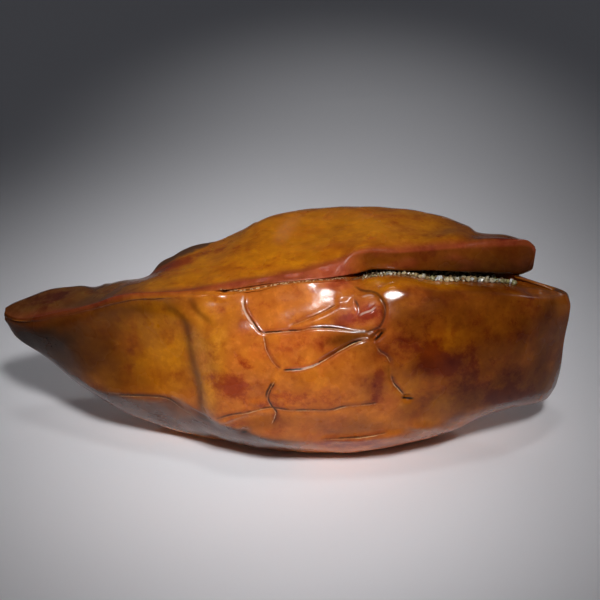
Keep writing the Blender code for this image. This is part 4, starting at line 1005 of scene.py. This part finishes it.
stoneFinish = {
    "roughness": (0.20, 0.33),      # a soft shine under a thin polish
    "dullNoise": (60.0, 3.0), "dullRange": (0.35, 0.7),
    "rindRoughness": 0.25,          # extra on rind and on the pale crack lines
    "ior": 1.5, "specular": 0.23, "coat": 0.10, "coatRoughness": 0.08,
    "glow": 0.07,                   # light that soaks into the skin
    "glowReach": (0.004, 0.0014, 0.0005),
    # cloudy mottling inside each colour, then faint red clouds: size, detail and
    # roughness of the noise, the two values between which it grows, its strength,
    # and what it multiplies the colour by
    "mottles": [
        (150.0, 5.0, 0.60, 0.48, 0.68, 1.0, (1.20, 1.28, 1.10)),
        (150.0, 5.0, 0.60, 0.50, 0.30, 1.0, (0.74, 0.60, 0.60)),
        (330.0, 8.0, 0.70, 0.54, 0.66, 0.75, (0.78, 0.58, 0.70)),
        (520.0, 3.0, 0.60, 0.46, 0.64, 1.0, (1.13, 1.20, 1.50)),
        (105.0, 7.0, 0.66, 0.50, 0.66, 0.75, (0.93, 0.74, 0.90)),
    ],
    # red patches and the halo round them: from, to, what they multiply by
    "patches": [(0.40, 0.85, (0.68, 0.41, 0.55)), (0.15, 0.60, (0.88, 0.75, 0.80))],
    "ragged": (240.0, 9.0, 0.76), "raggedness": 2.6,
    # pale: crack filling and painted highlights on lit edges; deep: painted shade in the gaps, the
    # holes and the shut crevice; then the tone of the painted highlights on lit edges, and the
    # rind's
    "pale": (0.60, 0.38, 0.19), "deep": (0.012, 0.006, 0.004),
    "paintedGleamTone": (0.85, 0.60, 0.48), "weathered": (0.115, 0.044, 0.018),
    # drawn lines: half width, and shift to the left, in millimetres
    "paleLine": (0.11, 0.0), "gapLine": (0.22, 0.32), "crackShadeLine": (0.85, 0.5),
    "darkLine": (0.30, 0.0), "paintedGleamLine": (0.26, 0.0), "crumbLine": (0.24, 0.0),
    "lineInner": 0.4, "lineOuter": 1.5,     # its soft edge, in half widths
    "shaky": (900.0, 3.0), "shakiness": 0.25,
    "crackShade": (0.66, 0.48, 0.60),            # painted shade beside the cracks: what it multiplies by
    "crackShadeShare": 0.8, "paintedGleamShare": 0.75, "crumbShare": 0.6,
    # noise that breaks the lines up: size, detail, roughness, then from, to, the
    # least and the most that it leaves
    "paleBreaks": (190.0, 4.0, 0.55, 0.42, 0.60, 0.3, 1.0),
    "gapBreaks": (260.0, 4.0, 0.55, 0.40, 0.56, 0.25, 0.95),
    "fillBreaks": (1300.0, 3.0, 0.70, 0.36, 0.55, 0.25, 1.0),
    "crumbBreaks": (1700.0, 2.0, 0.50, 0.46, 0.62, 0.0, 1.0),
    "rindSize": 300.0, "rindRange": (0.35, 0.75),
    # bumps: peel, fine grain, pin pricks (their range and depth) and rough rind
    "bump": 0.10, "bumpHeight": 0.0006, "peel": (420.0, 2.0, 0.5),
    "grain": (1500.0, 3.0, 0.6), "grainShare": 0.25,
    "prickSize": 330.0, "pricks": (0.05, 0.16, -0.6, 0.0), "prickShare": 0.35,
    "rough": (900.0, 4.0, 0.7), "roughShare": 3.0,
}


# Colour of the clean skin: every point's own, mottled, with ragged red patches.
def mottledColour(kit):
    colour = kit.attribute("tint", "Color")
    for *grain, low, high, strength, by in stoneFinish["mottles"]:
        amount = kit.ramp(kit.noise(*grain), low, high, 0.0, strength)
        colour = kit.mix(amount, colour, by, "MULTIPLY")
    cloudy = kit.calc("SUBTRACT", kit.noise(*stoneFinish["ragged"]), 0.5)
    ragged = kit.calc("ADD", kit.attribute("patch"),
                      kit.calc("MULTIPLY", cloudy, stoneFinish["raggedness"]))
    for low, high, by in stoneFinish["patches"]:
        colour = kit.mix(kit.ramp(ragged, low, high), colour, by, "MULTIPLY")
    return colour


# Drawn lines over the clean skin: painted shade beside the cracks, rind, painted highlights along
# lit edges, pale crack lines that are partly crack filling and partly painted highlights, crumbs on
# a dark line of painted shade, and painted shade in the gaps, one over the other. A line lies where
# the signed gap is small, with a shaky width. Gives the colour and where the pale lines or rind are
# rough.
def linedColour(kit, colour):
    calc = kit.calc
    shaky = calc("MULTIPLY", calc("SUBTRACT", kit.noise(*stoneFinish["shaky"]), 0.5),
                 stoneFinish["shakiness"])

    def drawn(family, line):
        halfWidth, shift = stoneFinish[line]
        near = calc("ABSOLUTE", calc("ADD", kit.attribute(family + "Gap"),
                                     calc("SUBTRACT", shaky, shift)))
        inside = kit.ramp(near, stoneFinish["lineInner"] * halfWidth,
                          stoneFinish["lineOuter"] * halfWidth, 1.0, 0.0)
        return calc("MULTIPLY", inside, kit.attribute(family + "Mask"))

    def drawnBoth(line):
        return calc("MAXIMUM", drawn("paleOne", line), drawn("paleTwo", line))

    def broken(mask, breaks):
        *grain, low, high, least, most = stoneFinish[breaks]
        return calc("MULTIPLY", mask, kit.ramp(kit.noise(*grain), low, high, least, most))

    # painted shade beside the cracks
    crackShade = calc("MULTIPLY", drawnBoth("crackShadeLine"), stoneFinish["crackShadeShare"])
    colour = kit.mix(crackShade, colour, stoneFinish["crackShade"], "MULTIPLY")
    worn = kit.attribute("worn")
    patchy = calc("ADD", worn, calc("SUBTRACT", kit.noise(stoneFinish["rindSize"]), 0.5))
    rind = kit.ramp(patchy, *stoneFinish["rindRange"])
    # painted highlights along lit edges
    rubbed = calc("MULTIPLY", drawn("rubbed", "paintedGleamLine"), stoneFinish["paintedGleamShare"])
    # pale crack lines: crack filling and painted highlights on lit edges
    fillingAndGleam = broken(broken(drawnBoth("paleLine"), "paleBreaks"), "fillBreaks")
    crumbs = drawn("crumbs", "crumbLine")
    # painted shade in the cracks' gaps, the notch and the holes
    gaps = calc("MAXIMUM", drawn("dark", "darkLine"), broken(drawnBoth("gapLine"), "gapBreaks"))
    for amount, over in ((rind, "weathered"), (rubbed, "paintedGleamTone"), (fillingAndGleam, "pale"),
                         (calc("MULTIPLY", crumbs, stoneFinish["crumbShare"]), "deep"),
                         (broken(crumbs, "crumbBreaks"), "pale"), (gaps, "deep")):
        colour = kit.mix(amount, colour, stoneFinish[over])
    return colour, calc("MAXIMUM", fillingAndGleam, worn)


# Skin like orange peel, a few pin pricks, rough rind.
def skinBump(kit):
    calc = kit.calc
    grain = calc("MULTIPLY", kit.noise(*stoneFinish["grain"]), stoneFinish["grainShare"])
    prick = kit.add("TexVoronoi", {"feature": "F1"}, Vector=kit.place,
                    Scale=stoneFinish["prickSize"]).outputs["Distance"]
    pits = calc("MULTIPLY", kit.ramp(prick, *stoneFinish["pricks"]), stoneFinish["prickShare"])
    rough = calc("MULTIPLY", kit.noise(*stoneFinish["rough"]),
                 calc("MULTIPLY", kit.attribute("worn"), stoneFinish["roughShare"]))
    height = kit.noise(*stoneFinish["peel"])
    for more in (grain, pits, rough):
        height = calc("ADD", height, more)
    return kit.add("Bump", None, Strength=stoneFinish["bump"],
                   Distance=stoneFinish["bumpHeight"], Height=height).outputs[0]


def makeStoneMaterial():
    kit = nodeKit("waxyAgate")
    colour, rough = linedColour(kit, mottledColour(kit))
    dull = kit.ramp(kit.noise(*stoneFinish["dullNoise"]), *stoneFinish["dullRange"],
                    *stoneFinish["roughness"])
    extra = kit.calc("MULTIPLY", rough, stoneFinish["rindRoughness"])
    bump = skinBump(kit)
    kit.finish({
        "Base Color": colour, "Roughness": kit.calc("ADD", dull, extra),
        "Normal": bump, "Coat Normal": bump,
        "Coat Weight": stoneFinish["coat"], "Coat Roughness": stoneFinish["coatRoughness"],
        "IOR": stoneFinish["ior"], "Specular IOR Level": stoneFinish["specular"],
        "Subsurface Weight": stoneFinish["glow"],
        "Subsurface Radius": stoneFinish["glowReach"], "Subsurface Scale": 1.0,
    })
    return kit.material


# Faces of the grid, as blocks of corner numbers: every second row and station,
# except in a part where all are used. Wide faces beside that part take its extra
# edge points as corners.
def netFaces(rows, stations, top, bottom, first, last):
    ids = np.arange(rows * stations).reshape(rows, stations)
    at = lambda i, j: ids[i % rows, j]
    i, j = np.meshgrid(np.arange(0, rows, 2), np.arange(0, stations - 1, 2), indexing="ij")
    inside = (i >= top) & (i < bottom) & (j >= first) & (j < last)
    above = (i + 2 == top) & (j >= first) & (j < last)
    below = (i == bottom) & (j >= first) & (j < last)
    before = (j + 2 == first) & (i >= top) & (i < bottom)
    after = (j == last) & (i >= top) & (i < bottom)
    blocks = []
    for mask, extra in ((~(inside | above | below | before | after), None),
                        (above, 1), (below, 3), (before, 2), (after, 0)):
        a, b = i[mask], j[mask]
        corners = [at(a, b), at(a + 2, b), at(a + 2, b + 2), at(a, b + 2)]
        middles = [at(a + 1, b), at(a + 2, b + 1), at(a + 1, b + 2), at(a, b + 1)]
        if extra is not None:
            corners.insert(extra + 1, middles[extra])
        blocks.append(np.stack(corners, 1))
    a, b = np.meshgrid(np.arange(top, bottom), np.arange(first, last), indexing="ij")
    a, b = a.ravel(), b.ravel()
    return blocks + [np.stack([at(a, b), at(a + 1, b), at(a + 1, b + 1), at(a, b + 1)], 1)]


# The grid's faces and the bands that close both ends, with only the points in use.
def stoneFaces(grid):
    rows, stations = grid.shape[:2]
    first, last = (int(np.searchsorted(stationPlaces(), form[side])) // 2 * 2
                   for side in ("fineFrom", "fineTo"))
    blocks = netFaces(rows, stations, rowOf(form["fineTop"]),
                      rowOf(form["fineBottom"]) + form["fineBeyond"], first, last)
    points = grid.reshape(-1, 3)
    ids = np.arange(rows * stations).reshape(rows, stations)
    keel = rowOf("keel") // 2
    for column, flip in ((0, -1), (-1, 1)):
        chain = ids[::2, column]
        blocks.append(bandBetween(chain[:keel + 1], chain[:keel:-1], points)[:, ::flip])
    used = np.zeros(len(points), bool)
    for block in blocks:
        used[block] = True
    number = np.cumsum(used) - 1
    return used, [face for block in blocks for face in number[block].tolist()]


def makeStone():
    grid = tumble(loft(guideLines()), form["wearBefore"])
    grid, n, seen = weather(grid)
    grid = tumble(grid, form["wearAfter"])
    grid[..., 2] = np.maximum(grid[..., 2], 0)
    used, faces = stoneFaces(grid)
    stone = newObject("agate_skin", grid.reshape(-1, 3)[used], faces, makeStoneMaterial())
    colour, patch, worn = stoneTones(grid, n, seen)
    addAttribute(stone, "tint", colour.reshape(-1, 3)[used], "FLOAT_COLOR")
    for name, values in (("patch", patch), ("worn", worn), *crackMasks(grid, seen)):
        addAttribute(stone, name, values.reshape(-1)[used])
    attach(stone, "root")
    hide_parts("agate")
    return stone, grid


stone, grid = makeStone()
print("stone", len(stone.data.polygons), "faces")


# crystal grit in the crevice
grit = {
    "from": 15.4, "to": 53.4,       # along the crevice
    "seed": 7, "tries": 1500,
    # place along the stone and grain size there, in millimetres
    "sizes": [(15, 0.55), (20, 0.7), (26, 1.1), (32, 1.35), (42, 1.6), (49, 1.7), (54, 1.7)],
    "colours": [(0.62, 0.50, 0.29), (0.74, 0.66, 0.48), (0.46, 0.33, 0.15),
                (0.38, 0.34, 0.15), (0.52, 0.52, 0.46), (0.28, 0.16, 0.07)],
    "chances": [0.32, 0.16, 0.18, 0.12, 0.06, 0.16],
    "sizeSpread": (0.45, 1.1), "brightness": (0.8, 1.1),
    "corners": (0.78, 1.18), "squeeze": (0.62, 1.0),    # how far a grain is misshapen
    "outward": 1.3,                 # above 1, more grains lie near the lip
    # parts of a grain's size: its middle's height over the floor, least distance to
    # another (of both sizes together) and to the roof, for a big one too
    "raised": 0.30, "apart": 0.42, "headroom": 0.42, "bigHeadroom": 0.25, "big": 2.0,
    "heap": 0.35, "heapFrom": 0.3,  # deeper in, the grains lie in a thicker heap
    # bed under them: how far its edge is sunk, rise and waves within, depth below
    # the floor, and how far inside the grit's ends it starts and stops
    "bedSunk": 0.25, "bedRise": 0.50, "bedWaves": 0.22, "waveSize": (0.5, 3.3),
    "bedUnder": 0.45, "bedStart": 1.0, "bedStop": 0.5,
    "bedColour": (0.13, 0.07, 0.03),
    "rimRows": 2.0, "rimStations": 4.0,     # width of the bed's sloping edge
    # the few big ones: across, rows in from the lip, size, colour
    "chunks": [(51.9, 3.2, 2.9, (0.80, 0.82, 0.84)), (53.4, 3.4, 1.6, (0.72, 0.74, 0.74)),
               (50.2, 4.0, 1.5, (0.60, 0.66, 0.50)), (48.9, 2.6, 1.4, (0.52, 0.60, 0.42)),
               (46.6, 2.4, 1.9, (0.86, 0.80, 0.58)), (45.6, 3.0, 1.3, (0.84, 0.80, 0.64)),
               (43.0, 2.4, 1.4, (0.86, 0.84, 0.76)), (39.2, 2.2, 1.5, (0.84, 0.80, 0.70)),
               (35.0, 2.2, 1.9, (0.92, 0.91, 0.86)), (30.6, 2.0, 1.3, (0.82, 0.76, 0.60))],
}


# The crevice as the stone's grid has it: floor rows from the lip inward, their
# normals, and the roof rows over them.
def crevice(grid):
    n = gridNormals(grid)
    floor = slice(rowOf("lipLow") + 2, rowOf("slotFloor") - 1, -1)
    roof = slice(rowOf("lipHigh") - 2, rowOf("slotRoof") + 1)
    return grid[floor], n[floor], grid[roof]


# Bed: closed slab over the floor rows, its upper side raised by slow waves, its
# edge sunk into the stone.
def gritBed(floor, n):
    across = toSheet(floor)[0][2]
    part = (across > grit["from"] + grit["bedStart"]) & (across < grit["to"] - grit["bedStop"])
    spot, up = floor[2:, part], n[2:, part]
    i, j = np.indices(spot.shape[:2])
    edge = np.clip(np.minimum(np.minimum(i, len(i) - 1 - i) / grit["rimRows"],
                              np.minimum(j, i.shape[1] - 1 - j) / grit["rimStations"]), 0, 1)
    raised = grit["bedRise"] + grit["bedWaves"] * waves(spot, *grit["waveSize"])
    lift = edge * raised - grit["bedSunk"]
    upper, lower = spot + up * lift[..., None], spot - up * grit["bedUnder"]
    ids = np.arange(lift.size).reshape(lift.shape)
    quads = np.stack([ids[:-1, :-1], ids[1:, :-1], ids[1:, 1:], ids[:-1, 1:]], -1)
    quads = quads.reshape(-1, 4)
    walls = [np.stack([ring[:-1], ring[1:], ring[1:] + lift.size, ring[:-1] + lift.size], 1)
             for ring in (ids[:, 0][::-1], ids[:, -1], ids[0], ids[-1][::-1])]
    faces = np.vstack([quads, quads[:, ::-1] + lift.size] + walls)
    return np.vstack([upper.reshape(-1, 3), lower.reshape(-1, 3)]), faces[:, ::-1]


# Grain: an icosahedron one wide, squeezed, its corners moved a little, and turned
# at random by a unit quaternion (w, x, y, z).
def grainShapes(centres, sizes, rng):
    g, cornerReach = (1 + 5**0.5) / 2, 1.9
    corners = np.array([(-1, g, 0), (1, g, 0), (-1, -g, 0), (1, -g, 0),
                        (0, -1, g), (0, 1, g), (0, -1, -g), (0, 1, -g),
                        (g, 0, -1), (g, 0, 1), (-g, 0, -1), (-g, 0, 1)]) / cornerReach
    sides = np.array([(0, 11, 5), (0, 5, 1), (0, 1, 7), (0, 7, 10), (0, 10, 11),
                      (1, 5, 9), (5, 11, 4), (11, 10, 2), (10, 7, 6), (7, 1, 8),
                      (3, 9, 4), (3, 4, 2), (3, 2, 6), (3, 6, 8), (3, 8, 9),
                      (4, 9, 5), (2, 4, 11), (6, 2, 10), (8, 6, 7), (9, 8, 1)])
    count = len(centres)
    shape = corners[None] * rng.uniform(*grit["corners"], (count, 12, 1))
    shape = shape * rng.uniform(*grit["squeeze"], (count, 1, 3))
    q = rng.normal(size=(count, 4))
    w, x, y, z = (q / np.linalg.norm(q, axis=1, keepdims=True)).T
    turn = np.stack([1 - 2 * (y * y + z * z), 2 * (x * y - z * w), 2 * (x * z + y * w),
                     2 * (x * y + z * w), 1 - 2 * (x * x + z * z), 2 * (y * z - x * w),
                     2 * (x * z - y * w), 2 * (y * z + x * w), 1 - 2 * (x * x + y * y)],
                    1).reshape(-1, 3, 3)
    shape = np.einsum("nij,nkj->nki", turn, shape) * (sizes / 2)[:, None, None]
    points = (shape + centres[:, None]).reshape(-1, 3)
    faces = (sides[None] + 12 * np.arange(count)[:, None, None]).reshape(-1, 3)
    return points, faces


# Places on the floor, sizes and colours to try: the chunks, then random ones from
# the biggest down. A place is a column of the floor and a row, counted from the lip.
def gritTries(across, rowCount, rng):
    chunks, count = grit["chunks"], grit["tries"]
    sizeAt = np.array(grit["sizes"])
    column = rng.choice(np.flatnonzero((across > grit["from"]) & (across < grit["to"])), count)
    row = (rowCount - 1.01) * rng.random(count)**grit["outward"]    # before the last
    size = np.interp(across[column], sizeAt[:, 0], sizeAt[:, 1])
    size = size * rng.uniform(*grit["sizeSpread"], count)
    colour = np.array(grit["colours"])[rng.choice(len(grit["colours"]), count,
                                                  p=grit["chances"])]
    order = np.argsort(-size)
    places, rows, sizes, colours = zip(*chunks[::-1])
    return (np.append([np.argmin(np.abs(across - a)) for a in places], column[order]),
            np.append(rows, row[order]), np.append(sizes, size[order]),
            np.vstack([colours, colour[order]]))


# A grain stays when it is clear of the roof and of the grains before it.
def placeGrains(floor, n, roof, rng):
    column, row, size, colour = gritTries(toSheet(floor)[0][2], len(floor), rng)
    k = row.astype(int)
    f = (row - k)[:, None]
    spot = (1 - f) * floor[k, column] + f * floor[k + 1, column]

    def roomOver(spot):
        return np.linalg.norm(roof[:, column] - spot[None], axis=2).min(0)

    heap = grit["heap"] * roomOver(spot) * smoothStep(row / len(floor), grit["heapFrom"], 1.0)
    spot = spot + n[k, column] * (grit["raised"] * size + heap)[:, None]
    roomy = roomOver(spot) > size * np.where(size > grit["big"], grit["bigHeadroom"],
                                             grit["headroom"])
    taken = []
    for i in np.flatnonzero(roomy):
        near = np.linalg.norm(spot[taken] - spot[i], axis=1)
        if (near > grit["apart"] * (size[taken] + size[i])).all():
            taken.append(i)
    return spot[taken], size[taken], colour[taken]


gritFinish = {
    # both follow a cloudy noise: from, to, value there
    "cloudSize": 1400.0, "shade": (0.35, 0.7, 0.58, 1.0), "roughness": (0.3, 0.7, 0.18, 0.5),
    "ior": 1.54, "glow": 0.25, "glowReach": (0.0008, 0.0007, 0.0005),
    "bump": 0.25, "bumpHeight": 0.0002,
}


def makeGritMaterial():
    kit = nodeKit("creviceCrystals")
    cloud = kit.noise(gritFinish["cloudSize"], 3.0, 0.5)
    shade = kit.ramp(cloud, *gritFinish["shade"], "LINEAR")
    colour = kit.add("VectorMath", {"operation": "SCALE"},
                     i0=kit.attribute("tint", "Color"), i3=shade).outputs[0]
    bump = kit.add("Bump", None, Strength=gritFinish["bump"],
                   Distance=gritFinish["bumpHeight"], Height=cloud).outputs[0]
    kit.finish({
        "Base Color": colour, "Normal": bump,
        "Roughness": kit.ramp(cloud, *gritFinish["roughness"], "LINEAR"),
        "IOR": gritFinish["ior"], "Subsurface Weight": gritFinish["glow"],
        "Subsurface Radius": gritFinish["glowReach"], "Subsurface Scale": 1.0,
    })
    return kit.material


def makeGrit(grid):
    rng = np.random.default_rng(grit["seed"])
    floor, n, roof = crevice(grid)
    bed, bedFaces = gritBed(floor, n)
    centres, sizes, tint = placeGrains(floor, n, roof, rng)
    grains, grainFaces = grainShapes(centres, sizes, rng)
    points = np.vstack([bed, grains])
    faces = bedFaces.tolist() + (grainFaces + len(bed)).tolist()
    crystals = newObject("crevice_crystals", points, faces, makeGritMaterial(), smooth=False)
    tint = tint * rng.uniform(*grit["brightness"], (len(centres), 1))
    tint = np.vstack([np.tile([grit["bedColour"]], (len(bed), 1)), np.repeat(tint, 12, 0)])
    addAttribute(crystals, "tint", np.clip(tint, 0, 1), "FLOAT_COLOR")
    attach(crystals, "root")
    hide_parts("crevice_grit")
    return crystals


crystals = makeGrit(grid)
print("crystals", len(crystals.data.polygons), "faces")


# floor, light and camera
studio = {
    "floor": (0.90, 0.893, 0.93), "floorHalf": 2.5, "floorRoughness": 0.9,
    # spot lamps: from, to, watts, cone in degrees, radius; the last one lights a
    # pool of floor behind the stone
    "lamps": {
        "key": ((0.07, -0.50, 0.54), (-0.004, -0.012, 0.02), 34.0, 12.1, 0.07),
        "back": ((0.46, 0.40, 0.40), (-0.004, -0.012, 0.02), 0.8, 24.0, 0.07),
        "top": ((0.006, -0.18, 0.78), (0.006, -0.05, 0.0), 24.0, 11.6, 0.20),
        "wash": ((0.03, 0.75, 0.45), (0.014, 0.14, 0.0), 18.0, 9.7, 0.07),
    },
    "sky": (0.62, 0.64, 0.70), "skyStrength": 0.075,
    "sensor": 36.0,                 # width of the camera's sensor
}


# Places a lamp or camera, which looks along its own -Z, and turns it to a target.
def aim(obj, start, target):
    obj.location = start
    obj.rotation_euler = (Vector(target) - Vector(start)).to_track_quat("-Z", "Y").to_euler()


def makeFloor():
    half = studio["floorHalf"]
    mesh = bpy.data.meshes.new("floor")
    mesh.from_pydata([(-half, -half, 0), (half, -half, 0), (half, half, 0), (-half, half, 0)],
                     [], [(0, 1, 2, 3)])
    kit = nodeKit("paleFloor")
    kit.finish({"Base Color": (*studio["floor"], 1), "Roughness": studio["floorRoughness"]})
    mesh.materials.append(kit.material)
    floor = bpy.data.objects.new("floor", mesh)
    bpy.context.scene.collection.objects.link(floor)


def makeLamps():
    for name, (start, target, watts, cone, radius) in studio["lamps"].items():
        lamp = bpy.data.lights.new(name, "SPOT")
        lamp.energy, lamp.shadow_soft_size = watts, radius
        lamp.spot_size, lamp.spot_blend = math.radians(cone), 1.0
        lampObject = bpy.data.objects.new(name, lamp)
        aim(lampObject, start, target)
        bpy.context.scene.collection.objects.link(lampObject)
    world = bpy.data.worlds.new("room")
    world.use_nodes = True
    sky = next(n for n in world.node_tree.nodes if n.type == "BACKGROUND")
    sky.inputs[0].default_value = (*studio["sky"], 1)
    sky.inputs[1].default_value = studio["skyStrength"]
    bpy.context.scene.world = world


def makeCamera():
    scene = bpy.context.scene
    camera = bpy.data.cameras.new("camera")
    camera.sensor_width = studio["sensor"]
    camera.lens = studio["sensor"] * sheet["reach"] / sheet["width"]
    cameraObject = bpy.data.objects.new("camera", camera)
    aim(cameraObject, eye * mm, sheet["middle"] * mm)
    scene.collection.objects.link(cameraObject)
    scene.camera = cameraObject
    scene.view_settings.view_transform = "Standard"


makeFloor()
makeLamps()
makeCamera()
print("floor, lamps and camera")
